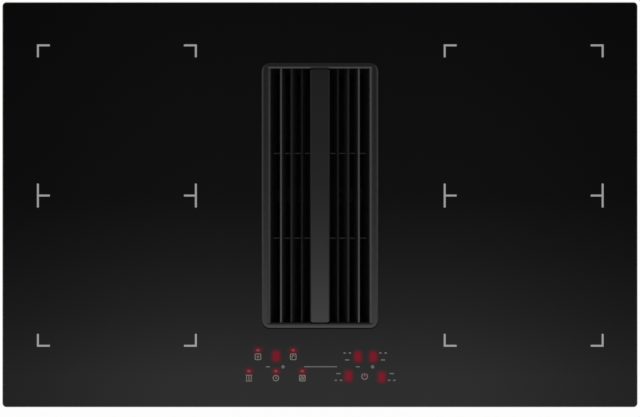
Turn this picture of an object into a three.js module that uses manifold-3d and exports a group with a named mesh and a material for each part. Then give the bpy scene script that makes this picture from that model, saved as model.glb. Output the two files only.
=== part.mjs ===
// Built-in induction cooktop with a downdraft extractor, millimetres, +Z up.
// Z = 0 is the top of the worktop that it drops into. X runs along the cooktop and Y from the
// cook towards the wall. The origin is below the middle of the glass.
// A glass plate carries a sheet steel tray with four induction coils. A louvred grille in the
// middle covers a shaft with a lift-out grease filter. A radial blower beside the shaft, under
// the tray, draws the cooking vapour down and blows it out through a flat duct at the back.

import * as THREE from 'three';
import { mergeVertices } from 'three/addons/utils/BufferGeometryUtils.js';
import Module from 'manifold-3d';

const wasm = await Module();
wasm.setup();

// ---------------------------------------------------------------- driving dimensions

// Glass, gasket and the cut-out in the worktop
const glassLength = 800;
const glassDepth = 510;
const glassThickness = 4;
const glassCorner = 4;
const glassBevel = 1;
const gasketThickness = 2;
const gasketWidth = 7;
const gasketInset = 2;
const cutoutLength = 770;
const cutoutDepth = 490;
const cutoutClearance = 7;

// Clearances
const seatGap = 0.3;
const slideGap = 0.5;

// How far a joined shape reaches into its neighbour, and a cutting shape past a face
const bite = 0.5;
const past = 1;

// Grille
const grilleWidth = 147;
const grilleLength = 334;
const grilleCentreY = 11.6;
const grilleRise = 3;
const grilleCorner = 7.5;
const grilleLap = 3;
const frameChamfer = 2;
const frameSideWidth = 11.1;
const frameEndWidth = 6.6;
const frameShoulder = 5.1;
const frameShoulderDrop = 5;
const frameWall = 3;
const frameDepth = 22;
const frameLip = 5;
const spineWidth = 25;
const spineChamfer = 2.5;
const spineWall = 2.5;
const spineDepth = 20;
const louvreCount = 3;
const louvreThickness = 2.6;
const louvreDepth = 18;
const louvreLean = THREE.MathUtils.degToRad(19);
const louvreSink = 2;
const louvreStep = 2;
const louvreEase = 0.5;
const rodRadius = 1.2;
const rodClearance = 0.3;
const rodDrop = 14;

// Tray
const trayDepth = 52;
const traySheet = 1.2;
const trayCorner = 6;
const trayFlange = 8;
const ventSlotWidth = 5;
const ventSlotPitch = 10;
const blowerSlotCount = 5;
const blowerSlotLength = 44;
const wallSlotCount = 8;
const wallSlotHeight = 22;

// Cooking zones and what lies under them
const zoneWidth = 199;
const zoneDepth = 189.2;
const zoneInner = 156.7;
const zoneCentreY = 11.5;
const insulationThickness = 0.8;
const insulationCorner = 12;
const coilMargin = 9;
const coilThickness = 5;
const coilCorner = 42;
const coilEyeWidth = 48;
const coilEyeDepth = 40;
const coilEyeCorner = 16;
const carrierMargin = 3;
const carrierThickness = 2.5;
const carrierHubRadius = 13;
const carrierLegRadius = 5;
const carrierLegInset = 15;
const carrierLegSteps = 6;
const ferriteWidth = 12;
const ferriteThickness = 4;
const ferriteCount = 6;
const sensorRadius = 8;
const sensorStemRadius = 3;
const sensorHead = 1.2;

// Electronics
const boardWidth = 136;
const boardDepth = 330;
const boardThickness = 1.6;
const boardStandoff = 7;
const standoffRadius = 4;
const heatSinkWidth = 120;
const heatSinkDepth = 62;
const heatSinkBase = 4;
const heatSinkHeadroom = 5;
const heatSinkFins = 9;
const heatSinkFin = 2;
const capacitorRadius = 11;
const capacitorHeight = 20;
const capacitorInset = 42;
const capacitorPlaces = [-34, -8];
const chokePlace = 35;
const chokeWidth = 34;
const chokeDepth = 32;
const chokeHeight = 16;
const terminalRowPlace = -2;
const terminalRowWidth = 96;
const terminalRowDepth = 14;
const terminalRowHeight = 10;
const terminalRowSpacing = 46;
const controlsY = -201;
const controlsWidth = 200;
const controlsDepth = 52;
const controlsLip = 3;
const controlsPlate = 2;
const controlsRim = 1;
const lightGuideHeight = 8;
const lightGuideWidth = 82;
const lightGuideDepth = 46;
const lightGuideOffset = 54;
const lightGuideCorner = 3;
const lightWell = 9;
const lightWellPitchX = 22;
const lightWellPitchY = 26;
const lightWellColumns = 3;
const lightWellRows = 2;

// Cooling blowers inside the tray
const coolerX = 118;
const coolerHeight = 27;
const coolerWall = 1.6;
const coolerInner = 33;
const coolerOuter = 39;
const coolerReach = 40;
const coolerInlet = 24;
const coolerAxle = 2.5;
const coolerRotor = 29;
const coolerRotorInner = 20;
const coolerRotorHeight = 17;
const coolerBlades = 9;
const coolerBladeSheet = 1;
const coolerHub = 3;
const coolerSteps = 16;

// Shaft under the grille
const collarWall = 2.5;
const collarFlange = 12;
const collarFlangeThickness = 3;
const collarCorner = 7;
const collarBottom = -60;
const ledgeDrop = 30;
const ledgeThickness = 3;
const ledgeWidth = 4;
const shaftWall = 2.5;
const shaftFlange = 10;
const shaftFlangeThickness = 2.5;
const shaftUnder = -172;
const shaftRibs = 5;
const shaftRibHeight = 4;
const shaftRibThickness = 2;
const drainWidth = 90;
const drainDepth = 50;

// Grease filter
const filterRim = 3;
const filterRimWidth = 8;
const filterRimCorner = 2;
const filterSeatGap = 1;
const filterSheet = 1.5;
const filterTopHalf = 60;
const filterBottomHalf = 20;
const filterHeight = 100;
const filterWindows = 3;
const filterMullion = 12;
const filterWindowEdge = 11;
const meshSheet = 1;
const meshColumns = 9;
const meshRows = 3;
const meshStrand = 2.4;
const meshBorder = 4;
const handleWidth = 18;
const handleThickness = 3;
const handleOverhang = 7;
const handleCorner = 4;

// Extractor blower
const blowerX = 205;
const blowerY = 10;
const blowerInner = 104;
const blowerOuter = 150;
const blowerReach = 140;
const blowerTongue = THREE.MathUtils.degToRad(60);
const blowerWall = 2;
const blowerHeight = 98;
const blowerFlange = 5;
const blowerSteps = 26;
const bladeLead = 1.1;
const plenumHeight = 30;
const plenumGap = 6;
const plenumRadius = 110;
const plenumWall = 2;
const plenumSteps = 8;
const hangerRadius = 6;
const hangerX = 52;
const hangerY = 70;
const inletRadius = 74;
const inletLip = 2;
const inletDepth = 10;
const inletFlare = 8;
const impellerRadius = 95;
const impellerInner = 80;
const impellerHeight = 71;
const impellerFloorGap = 10;
const impellerSheet = 2;
const impellerRing = 3;
const impellerBlades = 20;
const impellerBladeSheet = 1.4;
const impellerCupTop = 44;
const impellerCupBottom = 58;
const impellerCupHeight = 50;
const hubRadius = 12;
const hubHeight = 16;
const shaftRadius = 4;
const shaftEnd = 2;
const motorRadius = 40;
const motorHeight = 50;
const motorBore = 16;
const motorShoulder = 6;
const motorShoulderInset = 5;
const motorSteps = 20;
const motorSeatWall = 5;
const motorSeatHeight = 4;

// Outlet spigot for a flat duct
const ductWidth = 222;
const ductHeight = 89;
const ductWall = 2;
const spigotTaper = 62;
const spigotSleeve = 28;

// Collection tank
const tankWidth = 124;
const tankDepth = 224;
const tankHeight = 24;
const tankWall = 2;
const tankCorner = 14;
const tankSocket = 12;
const tankSocketWall = 2;

// Mains terminal box
const terminalX = -285;
const terminalY = 186;
const terminalWidth = 110;
const terminalDepth = 72;
const terminalHeight = 34;
const terminalWall = 2;
const glandRadius = 9;
const glandBore = 5.5;
const glandNutRadius = 12;
const glandLength = 16;
const glandNutLength = 9.6;

// Spring clips on the ends of the tray
const clipWidth = 34;
const clipSheet = 0.8;
const clipHeight = 34;
const clipDrop = 6;
const clipOffsetY = 150;
const clipSteps = 8;

// Facets of small round corners, large rounds and thin rods
const cornerSteps = 2;
const roundSteps = 32;
const rodSteps = 8;
const glandSteps = 12;

// ---------------------------------------------------------------- levels and derived sizes

const glassUnder = gasketThickness;
const glassTop = glassUnder + glassThickness;
const grilleTop = glassTop + grilleRise;
const frameUnder = glassTop - frameDepth;
const frameMouth = grilleWidth / 2 - frameSideWidth;
const frameInnerLength = grilleLength - 2 * frameEndWidth;
const leanSlope = Math.tan(louvreLean);
const openingWidth = grilleWidth - 2 * grilleLap;
const openingLength = grilleLength - 2 * grilleLap;
const rodLevel = grilleTop - rodDrop;

const trayLength = cutoutLength - 2 * cutoutClearance;
const trayBreadth = cutoutDepth - 2 * cutoutClearance;
const trayUnder = -trayDepth;
const trayFloor = trayUnder + traySheet;

const zoneCentreX = zoneInner + zoneWidth / 2;
const coilTop = glassUnder - insulationThickness - seatGap;
const coilUnder = coilTop - coilThickness;
const coilWidth = zoneWidth - 2 * coilMargin;
const coilDepth = zoneDepth - 2 * coilMargin;
const carrierTop = coilUnder - seatGap;
const carrierUnder = carrierTop - carrierThickness;
const hubTop = coilTop - sensorHead;
const boardTop = trayFloor + boardStandoff + boardThickness;
const heatSinkTop = carrierUnder - ferriteThickness - heatSinkHeadroom;

const collarWidth = openingWidth + 2 * collarWall;
const collarLength = openingLength + 2 * collarWall;
const ledgeTop = glassTop - ledgeDrop;
const filterTop = ledgeTop + filterRim;
const filterUnder = ledgeTop - filterHeight;
const filterRimOuterWidth = openingWidth - 2 * filterSeatGap;
const filterRimOuterLength = openingLength - 2 * filterSeatGap;
const filterBodyLength = filterRimOuterLength - 2 * filterRimWidth;
const shaftInnerWidth = collarWidth + 2 * slideGap;
const shaftInnerLength = collarLength + 2 * slideGap;
const shaftWidth = shaftInnerWidth + 2 * shaftWall;
const shaftLength = shaftInnerLength + 2 * shaftWall;

const plenumTop = trayUnder - plenumGap;
const plenumUnder = plenumTop - plenumHeight;
const scrollTop = plenumUnder - blowerWall;
const scrollUnder = scrollTop - blowerHeight;
const scrollFloor = scrollUnder + blowerWall;
const impellerUnder = scrollFloor + impellerFloorGap;
const impellerTop = impellerUnder + impellerHeight;
const cupTop = impellerUnder + impellerCupHeight;
const hubUnder = cupTop - hubHeight / 2;
const motorTop = scrollFloor + motorHeight;

const ends = [['rear', 1], ['front', -1]];
const sides = [['left', -1], ['right', 1]];

// ---------------------------------------------------------------- geometry helpers

// A geometry with shared corners only, its faces pointing out.
function closed(geometry) {
  geometry.deleteAttribute('normal');
  geometry.deleteAttribute('uv');
  const merged = mergeVertices(geometry, 1e-4);
  const corner = merged.attributes.position;
  const index = merged.index.array;
  const a = new THREE.Vector3();
  const b = new THREE.Vector3();
  const c = new THREE.Vector3();
  let volume = 0;
  for (let i = 0; i < index.length; i += 3) {
    a.fromBufferAttribute(corner, index[i]);
    b.fromBufferAttribute(corner, index[i + 1]);
    c.fromBufferAttribute(corner, index[i + 2]);
    volume += a.dot(b.cross(c));
  }
  if (volume < 0) {
    for (let i = 0; i < index.length; i += 3) {
      [index[i], index[i + 1]] = [index[i + 1], index[i]];
    }
  }
  return merged;
}

function toSolid(shape) {
  if (!shape.isBufferGeometry) {
    return shape;
  }
  const merged = closed(shape);
  const mesh = new wasm.Mesh({
    numProp: 3,
    vertProperties: new Float32Array(merged.attributes.position.array),
    triVerts: new Uint32Array(merged.index.array),
  });
  return new wasm.Manifold(mesh);
}

function toGeometry(shape) {
  if (shape.isBufferGeometry) {
    return closed(shape);
  }
  const mesh = shape.getMesh();
  const geometry = new THREE.BufferGeometry();
  geometry.setAttribute('position', new THREE.BufferAttribute(mesh.vertProperties, 3));
  geometry.setIndex(new THREE.BufferAttribute(mesh.triVerts, 1));
  return geometry;
}

function join(...shapes) {
  return shapes.map(toSolid).reduce((whole, shape) => whole.add(shape));
}

function cut(body, ...tools) {
  return tools.map(toSolid).reduce((rest, tool) => rest.subtract(tool), toSolid(body));
}

function keep(body, region) {
  return toSolid(body).intersect(toSolid(region));
}

function box(x0, x1, y0, y1, z0, z1) {
  const geometry = new THREE.BoxGeometry(x1 - x0, y1 - y0, z1 - z0);
  return geometry.translate((x0 + x1) / 2, (y0 + y1) / 2, (z0 + z1) / 2);
}

function centredBox(x, y, width, depth, z0, z1) {
  return box(x - width / 2, x + width / 2, y - depth / 2, y + depth / 2, z0, z1);
}

function cylinder(radius, x, y, z0, z1, steps = rodSteps) {
  const geometry = new THREE.CylinderGeometry(radius, radius, z1 - z0, steps);
  return geometry.rotateX(Math.PI / 2).translate(x, y, (z0 + z1) / 2);
}

function rodAlongX(radius, x0, x1, y, z) {
  const geometry = new THREE.CylinderGeometry(radius, radius, x1 - x0, rodSteps);
  return geometry.rotateZ(Math.PI / 2).translate((x0 + x1) / 2, y, z);
}

// A profile of [radius, z] corners turned about a vertical axis.
function turned(profile, steps = roundSteps) {
  const points = profile.map(([r, z]) => new THREE.Vector2(r, z));
  return new THREE.LatheGeometry(points, steps).rotateX(Math.PI / 2);
}

function polygon(points) {
  return new THREE.Shape(points.map(([x, y]) => new THREE.Vector2(x, y)));
}

// A rectangle with round corners, as an outline or as a hole.
function rounded(width, depth, radius, x = 0, y = 0, kind = THREE.Shape) {
  const path = new kind();
  const dx = width / 2 - radius;
  const dy = depth / 2 - radius;
  const quarter = Math.PI / 2;
  path.absarc(x + dx, y + dy, radius, 0, quarter);
  path.absarc(x - dx, y + dy, radius, quarter, 2 * quarter);
  path.absarc(x - dx, y - dy, radius, 2 * quarter, 3 * quarter);
  path.absarc(x + dx, y - dy, radius, 3 * quarter, 4 * quarter);
  path.closePath();
  return path;
}

function slab(outline, z0, z1, holes = []) {
  outline.holes.push(...holes);
  const options = { depth: z1 - z0, bevelEnabled: false, curveSegments: cornerSteps };
  return new THREE.ExtrudeGeometry(outline, options).translate(0, 0, z0);
}

function roundedSlab(width, depth, radius, z0, z1, x = 0, y = 0) {
  return slab(rounded(width, depth, radius, x, y), z0, z1);
}

function ring(outer, inner, z0, z1, x = 0, y = 0) {
  const hole = rounded(inner[0], inner[1], inner[2], x, y, THREE.Path);
  return slab(rounded(outer[0], outer[1], outer[2], x, y), z0, z1, [hole]);
}

// A profile of [x, z] corners drawn out along Y.
function alongY(points, y0, y1) {
  const options = { depth: y1 - y0, bevelEnabled: false };
  const geometry = new THREE.ExtrudeGeometry(polygon(points), options);
  return geometry.rotateX(Math.PI / 2).translate(0, y1, 0);
}

// Stands a flat piece up: its x runs along Y, its y along Z and its thickness along X.
function standUp() {
  return new THREE.Matrix4().makeBasis(
    new THREE.Vector3(0, 1, 0),
    new THREE.Vector3(0, 0, 1),
    new THREE.Vector3(1, 0, 0),
  );
}

// A profile of [y, z] corners drawn out along X.
function alongX(points, x0, x1) {
  const options = { depth: x1 - x0, bevelEnabled: false };
  const geometry = new THREE.ExtrudeGeometry(polygon(points), options);
  return geometry.applyMatrix4(standUp()).translate(x0, 0, 0);
}

function mirrored(points) {
  return points.concat(points.map(([x, z]) => [-x, z]).reverse());
}

// A straight transition between two rectangles [x0, x1, z0, z1] that stand at y0 and y1.
function transition(first, second, y0, y1) {
  const corners = [];
  for (const [rect, y] of [[first, y0], [second, y1]]) {
    const [x0, x1, z0, z1] = rect;
    corners.push(x0, y, z0, x1, y, z0, x1, y, z1, x0, y, z1);
  }
  const geometry = new THREE.BufferGeometry();
  geometry.setAttribute('position', new THREE.Float32BufferAttribute(corners, 3));
  const faces = [0, 1, 2, 0, 2, 3, 4, 6, 5, 4, 7, 6];
  for (let side = 0; side < 4; side += 1) {
    const next = (side + 1) % 4;
    faces.push(side, side + 4, next + 4, side, next + 4, next);
  }
  geometry.setIndex(faces);
  return geometry;
}

// The outline of a blower's spiral housing about the origin, with its outlet towards +Y.
// inset draws the inner face of a wall that thick.
function spiral(inner, outer, reach, steps, inset = 0) {
  const tongueX = inner * Math.cos(blowerTongue) + inset;
  const start = Math.acos(tongueX / (inner - inset));
  const points = [];
  for (let i = 0; i <= steps; i += 1) {
    const angle = start + (2 * Math.PI - start) * i / steps;
    const share = (angle - blowerTongue) / (2 * Math.PI - blowerTongue);
    const radius = inner + (outer - inner) * share - inset;
    points.push([radius * Math.cos(angle), radius * Math.sin(angle)]);
  }
  points.push([outer - inset, reach], [tongueX, reach]);
  return points;
}

// Forward-curved blades round a vertical axis.
function bladeRing(count, inner, outer, sheet, z0, z1) {
  const steps = 2;
  const sweep = (outer - inner) / outer * bladeLead;
  const face = [];
  const back = [];
  for (let i = 0; i <= steps; i += 1) {
    const share = i / steps;
    const radius = inner + (outer - inner) * share;
    const angle = sweep * share * share;
    const half = sheet / 2 / radius;
    face.push([radius * Math.cos(angle - half), radius * Math.sin(angle - half)]);
    back.unshift([radius * Math.cos(angle + half), radius * Math.sin(angle + half)]);
  }
  const blades = [];
  for (let i = 0; i < count; i += 1) {
    blades.push(slab(polygon([...face, ...back]), z0, z1).rotateZ(2 * Math.PI * i / count));
  }
  return blades;
}

// ---------------------------------------------------------------- materials

function material(color, roughness, metalness) {
  return new THREE.MeshStandardMaterial({ color, roughness, metalness });
}

const blackGlass = () => material(0x0a0a0c, 0.06, 0);
const foamRubber = () => material(0x2b2b2d, 0.9, 0);
const galvanisedSteel = () => material(0x9ea2a4, 0.45, 0.9);
const blackAluminium = () => material(0x26262a, 0.4, 0.7);
const darkSteel = () => material(0x3a3a3d, 0.35, 0.9);
const blackPlastic = () => material(0x131314, 0.55, 0);
const greyPlastic = () => material(0x3d4043, 0.6, 0);
const whitePlastic = () => material(0xd9d9d4, 0.5, 0);
const micaSheet = () => material(0xb9a98a, 0.8, 0);
const copperLitz = () => material(0xa35a35, 0.5, 0.6);
const rawAluminium = () => material(0xb9bcbf, 0.4, 0.9);
const circuitBoard = () => material(0x1e4d33, 0.6, 0);
const filterSteel = () => material(0x434344, 0.45, 0.7);
const springSteel = () => material(0x6d6f72, 0.4, 0.9);

// ---------------------------------------------------------------- glass, gasket and tray

// Extruding with a bevel grows the outline and shrinks the opening by the bevel.
function glassPlate() {
  const bevel = glassBevel;
  const length = glassLength - 2 * bevel;
  const depth = glassDepth - 2 * bevel;
  const outline = rounded(length, depth, glassCorner);
  const mouth = [openingWidth + 2 * bevel, openingLength + 2 * bevel, collarCorner];
  outline.holes.push(rounded(...mouth, 0, grilleCentreY, THREE.Path));
  const geometry = new THREE.ExtrudeGeometry(outline, {
    depth: glassThickness - 2 * bevel,
    bevelThickness: bevel,
    bevelSize: bevel,
    bevelSegments: 1,
    curveSegments: cornerSteps,
  });
  return geometry.translate(0, 0, glassUnder + bevel);
}

function gasket() {
  const outer = [glassLength - 2 * gasketInset, glassDepth - 2 * gasketInset];
  const inner = outer.map((size) => size - 2 * gasketWidth);
  return ring([...outer, glassCorner], [...inner, glassCorner], 0, glassUnder);
}

function trayShell() {
  const flangeUnder = glassUnder - traySheet;
  const inside = [trayLength - 2 * traySheet, trayBreadth - 2 * traySheet];
  const mouth = inside.map((size) => size - 2 * trayFlange);
  const body = roundedSlab(trayLength, trayBreadth, trayCorner, trayUnder, glassUnder);
  const hollow = roundedSlab(...inside, trayCorner - traySheet, trayFloor, flangeUnder);
  const top = roundedSlab(...mouth, trayCorner, flangeUnder - past, glassUnder + past);
  return cut(body, hollow, top);
}

function trayCuts() {
  const cuts = [];
  const pass = [collarWidth + 2 * slideGap, collarLength + 2 * slideGap, collarCorner + collarWall];
  cuts.push(roundedSlab(...pass, trayUnder - past, trayFloor + past, 0, grilleCentreY));
  cuts.push(cylinder(glandNutRadius, terminalX, terminalY, trayUnder - past, trayFloor + past));
  for (const [, side] of sides) {
    for (let i = 0; i < blowerSlotCount; i += 1) {
      const x = side * coolerX + (i - (blowerSlotCount - 1) / 2) * ventSlotPitch;
      const slot = [x - ventSlotWidth / 2, x + ventSlotWidth / 2];
      const run = [zoneCentreY - blowerSlotLength / 2, zoneCentreY + blowerSlotLength / 2];
      cuts.push(box(...slot, ...run, trayUnder - past, trayFloor + past));
    }
    const wall = side * trayLength / 2;
    for (let i = 0; i < wallSlotCount; i += 1) {
      const y = zoneCentreY + (i - (wallSlotCount - 1) / 2) * 2 * ventSlotPitch;
      const low = trayFloor + ventSlotWidth;
      const slot = [y - ventSlotWidth / 2, y + ventSlotWidth / 2, low, low + wallSlotHeight];
      cuts.push(box(wall - 2 * traySheet, wall + 2 * traySheet, ...slot));
    }
  }
  return cuts;
}

// ---------------------------------------------------------------- cooking zones

function insulation() {
  const width = zoneWidth - coilMargin;
  const depth = 2 * zoneDepth - coilMargin;
  const holes = ends.map(([, end]) => {
    const hole = new THREE.Path();
    hole.absarc(0, end * zoneDepth / 2, sensorRadius + slideGap, 0, 2 * Math.PI);
    return hole;
  });
  const outline = rounded(width, depth, insulationCorner);
  return slab(outline, glassUnder - insulationThickness, glassUnder, holes);
}

function coil() {
  const outer = [coilWidth, coilDepth, coilCorner];
  const eye = [coilEyeWidth, coilEyeDepth, coilEyeCorner];
  return ring(outer, eye, coilUnder, coilTop);
}

// The coil's carrier: a plate with a hub for the sensor, ferrite bars below and four legs.
function coilCarrier() {
  const width = coilWidth + 2 * carrierMargin;
  const depth = coilDepth + 2 * carrierMargin;
  const plate = roundedSlab(width, depth, coilCorner + carrierMargin, carrierUnder, carrierTop);
  const hub = cylinder(carrierHubRadius, 0, 0, carrierUnder, hubTop);
  const bore = cylinder(sensorStemRadius + slideGap, 0, 0, carrierUnder - past, hubTop + past);
  const parts = [hub];
  const barUnder = carrierUnder - ferriteThickness;
  const inner = coilEyeWidth / 2;
  const outer = coilDepth / 2 - ferriteWidth;
  for (let i = 0; i < ferriteCount; i += 1) {
    const half = ferriteWidth / 2;
    const bar = box(inner, outer, -half, half, barUnder, carrierUnder + bite);
    parts.push(bar.rotateZ(Math.PI * (2 * i + 1) / ferriteCount));
  }
  for (const sx of [-1, 1]) {
    for (const sy of [-1, 1]) {
      const x = sx * (width / 2 - carrierLegInset);
      const y = sy * (depth / 2 - carrierLegInset);
      const legTop = carrierUnder + bite;
      parts.push(cylinder(carrierLegRadius, x, y, trayFloor, legTop, carrierLegSteps));
    }
  }
  return cut(join(plate, ...parts), bore);
}

function temperatureSensor() {
  const stemEnd = carrierUnder + seatGap;
  return turned([
    [0, stemEnd],
    [sensorStemRadius, stemEnd],
    [sensorStemRadius, hubTop],
    [sensorRadius, hubTop],
    [sensorRadius, coilTop],
    [0, coilTop],
  ], rodSteps);
}

// ---------------------------------------------------------------- electronics

function powerBoard() {
  const halfWidth = boardWidth / 2;
  const halfDepth = boardDepth / 2;
  const bottom = boardTop - boardThickness;
  const parts = [];
  for (const sx of [-1, 1]) {
    for (const sy of [-1, 1]) {
      const x = sx * (halfWidth - 2 * standoffRadius);
      const y = sy * (halfDepth - 2 * standoffRadius);
      parts.push(cylinder(standoffRadius, x, y, trayFloor, bottom + bite, carrierLegSteps));
    }
  }
  const low = boardTop - bite;
  for (const [, end] of ends) {
    const y = end * (halfDepth - capacitorInset);
    for (const x of capacitorPlaces) {
      parts.push(cylinder(capacitorRadius, x, y, low, boardTop + capacitorHeight));
    }
    const choke = [chokePlace, y, chokeWidth, chokeDepth];
    parts.push(centredBox(...choke, low, boardTop + chokeHeight));
    const rowY = y - end * terminalRowSpacing;
    const row = [terminalRowPlace, rowY, terminalRowWidth, terminalRowDepth];
    parts.push(centredBox(...row, low, boardTop + terminalRowHeight));
  }
  const plate = box(-halfWidth, halfWidth, -halfDepth, halfDepth, bottom, boardTop);
  return join(plate, ...parts);
}

function heatSink() {
  const half = heatSinkDepth / 2;
  const pitch = (heatSinkDepth - heatSinkFin) / (heatSinkFins - 1);
  const points = [[-half, boardTop], [half, boardTop]];
  for (let i = heatSinkFins - 1; i >= 0; i -= 1) {
    const left = -half + i * pitch;
    points.push([left + heatSinkFin, heatSinkTop], [left, heatSinkTop]);
    if (i > 0) {
      const base = boardTop + heatSinkBase;
      points.push([left, base], [left - pitch + heatSinkFin, base]);
    }
  }
  return alongX(points, -heatSinkWidth / 2, heatSinkWidth / 2);
}

function controlCarrier() {
  const top = glassUnder - lightGuideHeight - boardThickness;
  const width = controlsWidth + 2 * controlsLip;
  const depth = controlsDepth + 2 * controlsLip;
  const plate = roundedSlab(width, depth, controlsLip, top - controlsPlate, top + controlsRim);
  const seat = box(
    -controlsWidth / 2 - slideGap,
    controlsWidth / 2 + slideGap,
    -controlsDepth / 2 - slideGap,
    controlsDepth / 2 + slideGap,
    top,
    top + controlsRim + past,
  );
  const legs = [];
  for (const sx of [-1, 1]) {
    for (const sy of [-1, 1]) {
      const x = sx * (width / 2 - 2 * standoffRadius);
      const y = sy * (depth / 2 - 2 * standoffRadius);
      legs.push(cylinder(standoffRadius, x, y, trayFloor, top - bite));
    }
  }
  return join(cut(plate, seat), ...legs);
}

function touchBoard() {
  const under = glassUnder - lightGuideHeight - boardThickness;
  const halfWidth = controlsWidth / 2;
  const halfDepth = controlsDepth / 2;
  return box(-halfWidth, halfWidth, -halfDepth, halfDepth, under, under + boardThickness);
}

// A dark block whose wells carry the light of the displays up to the glass.
function lightGuide() {
  const wells = [];
  for (let column = 0; column < lightWellColumns; column += 1) {
    for (let row = 0; row < lightWellRows; row += 1) {
      const x = (column - (lightWellColumns - 1) / 2) * lightWellPitchX;
      const y = (row - (lightWellRows - 1) / 2) * lightWellPitchY;
      const half = lightWell / 2;
      const well = [x - half, x + half, y - half, y + half];
      wells.push(box(...well, glassUnder - lightGuideHeight - past, glassUnder));
    }
  }
  const size = [lightGuideWidth, lightGuideDepth, lightGuideCorner];
  const block = roundedSlab(...size, glassUnder - lightGuideHeight, glassUnder - seatGap);
  return cut(block, ...wells);
}

// ---------------------------------------------------------------- cooling blowers

function coolerHousing() {
  const top = trayFloor + coolerHeight;
  const outline = spiral(coolerInner, coolerOuter, coolerReach, coolerSteps);
  const hollow = spiral(coolerInner, coolerOuter, coolerReach + past, coolerSteps, coolerWall);
  const shell = cut(
    slab(polygon(outline), trayFloor, top),
    slab(polygon(hollow), trayFloor + coolerWall, top - coolerWall),
    cylinder(coolerInlet, 0, 0, trayFloor - past, trayFloor + 2 * coolerWall, coolerSteps),
  );
  const axleEnd = top - coolerWall - coolerRotorHeight;
  return join(shell, cylinder(coolerAxle, 0, 0, axleEnd, top - 0.5 * coolerWall));
}

function coolerRotorShape() {
  const top = trayFloor + coolerHeight - 2 * coolerWall;
  const under = top - coolerRotorHeight;
  const bore = coolerAxle + seatGap;
  const hub = turned([
    [bore, under + coolerHub],
    [coolerRotorInner / 2, under + coolerHub],
    [coolerRotorInner / 2, top - coolerWall],
    [coolerRotor, top - coolerWall],
    [coolerRotor, top],
    [bore, top],
    [bore, under + coolerHub],
  ], rodSteps);
  const reach = coolerRotor - bite;
  const fan = [coolerBlades, coolerRotorInner, reach, coolerBladeSheet];
  const blades = bladeRing(...fan, under, top - coolerWall / 2);
  return join(hub, ...blades);
}

// ---------------------------------------------------------------- grille

// The cast frame laps over the glass, locates in its opening and leans inwards below it.
function grilleFrame() {
  const halfWidth = grilleWidth / 2;
  const halfLength = grilleLength / 2;
  const bevel = frameChamfer;
  const outline = rounded(grilleWidth - 2 * bevel, grilleLength - 2 * bevel, grilleCorner - bevel);
  const cap = new THREE.ExtrudeGeometry(outline, {
    depth: grilleRise,
    bevelThickness: bevel,
    bevelSize: bevel,
    bevelSegments: 1,
    curveSegments: cornerSteps,
  }).translate(0, 0, grilleTop - grilleRise - bevel);
  const over = grilleTop + past;
  const above = box(-halfWidth, halfWidth, -halfLength, halfLength, glassTop, over);
  const lipHalf = openingWidth / 2 - slideGap;
  const lipUnder = glassTop - frameLip;
  const shoulderUnder = grilleTop - frameShoulderDrop;
  const lean = (z) => frameMouth - (shoulderUnder - z) * leanSlope;
  const skirtEnd = openingLength / 2 - slideGap;
  const leaning = alongY(mirrored([
    [lipHalf, glassTop + past],
    [lipHalf, lipUnder],
    [lean(lipUnder) + frameWall, lipUnder],
    [lean(frameUnder) + frameWall, frameUnder],
  ]), -skirtEnd, skirtEnd);
  const fit = [2 * lipHalf, 2 * skirtEnd, collarCorner];
  const skirt = keep(leaning, roundedSlab(...fit, frameUnder - past, glassTop + 2 * past));
  const mouthEnd = frameInnerLength / 2;
  const mouth = alongY(mirrored([
    [frameMouth + frameShoulder + past, over],
    [frameMouth + frameShoulder, grilleTop],
    [frameMouth, shoulderUnder],
    [lean(frameUnder - past), frameUnder - past],
  ]), -mouthEnd, mouthEnd);
  const endBevel = alongX([
    [-mouthEnd - bevel - past, over],
    [-mouthEnd, grilleTop - bevel],
    [mouthEnd, grilleTop - bevel],
    [mouthEnd + bevel + past, over],
  ], -frameMouth - frameShoulder, frameMouth + frameShoulder);
  return cut(join(keep(cap, above), skirt), mouth, endBevel, ...rodHoles());
}

function rodHoles() {
  const reach = grilleWidth / 2;
  const radius = rodRadius + rodClearance;
  return ends.map(([, end]) => rodAlongX(radius, -reach, reach, end * rodOffset(), rodLevel));
}

function rodOffset() {
  return frameInnerLength / 6;
}

function spineBar() {
  const half = spineWidth / 2;
  const under = grilleTop - spineDepth;
  const bar = alongY(mirrored([
    [half - spineWall, grilleTop - spineWall - spineChamfer / 2],
    [half - spineWall, under],
    [half, under],
    [half, grilleTop - spineChamfer],
    [half - spineChamfer, grilleTop],
  ]), -frameInnerLength / 2 + seatGap, frameInnerLength / 2 - seatGap);
  return cut(bar, ...rodHoles());
}

// Louvre number 0 is the one next to the spine. Each further one stands a step higher.
function louvre(side, number) {
  const pitch = (frameMouth - spineWidth / 2 + louvreThickness) / (louvreCount + 1);
  const x = frameMouth - pitch * (louvreCount - number);
  const top = grilleTop - louvreSink - louvreStep * (louvreCount - 1 - number);
  const half = louvreThickness / 2;
  const run = louvreDepth * leanSlope;
  const ease = louvreEase;
  const profile = [
    [x - half - run, top - louvreDepth],
    [x + half - run, top - louvreDepth],
    [x + half - ease * leanSlope, top - ease],
    [x + half - ease, top],
    [x - half + ease, top],
    [x - half - ease * leanSlope, top - ease],
  ];
  const placed = profile.map(([px, pz]) => [side * px, pz]);
  const blade = alongY(placed, -frameInnerLength / 2 + seatGap, frameInnerLength / 2 - seatGap);
  return cut(blade, ...rodHoles());
}

function crossRod(end) {
  const shoulderUnder = grilleTop - frameShoulderDrop;
  const reach = frameMouth - (shoulderUnder - rodLevel) * leanSlope + frameWall - slideGap;
  return rodAlongX(rodRadius, -reach, reach, end * rodOffset(), rodLevel);
}

// ---------------------------------------------------------------- shaft

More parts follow.
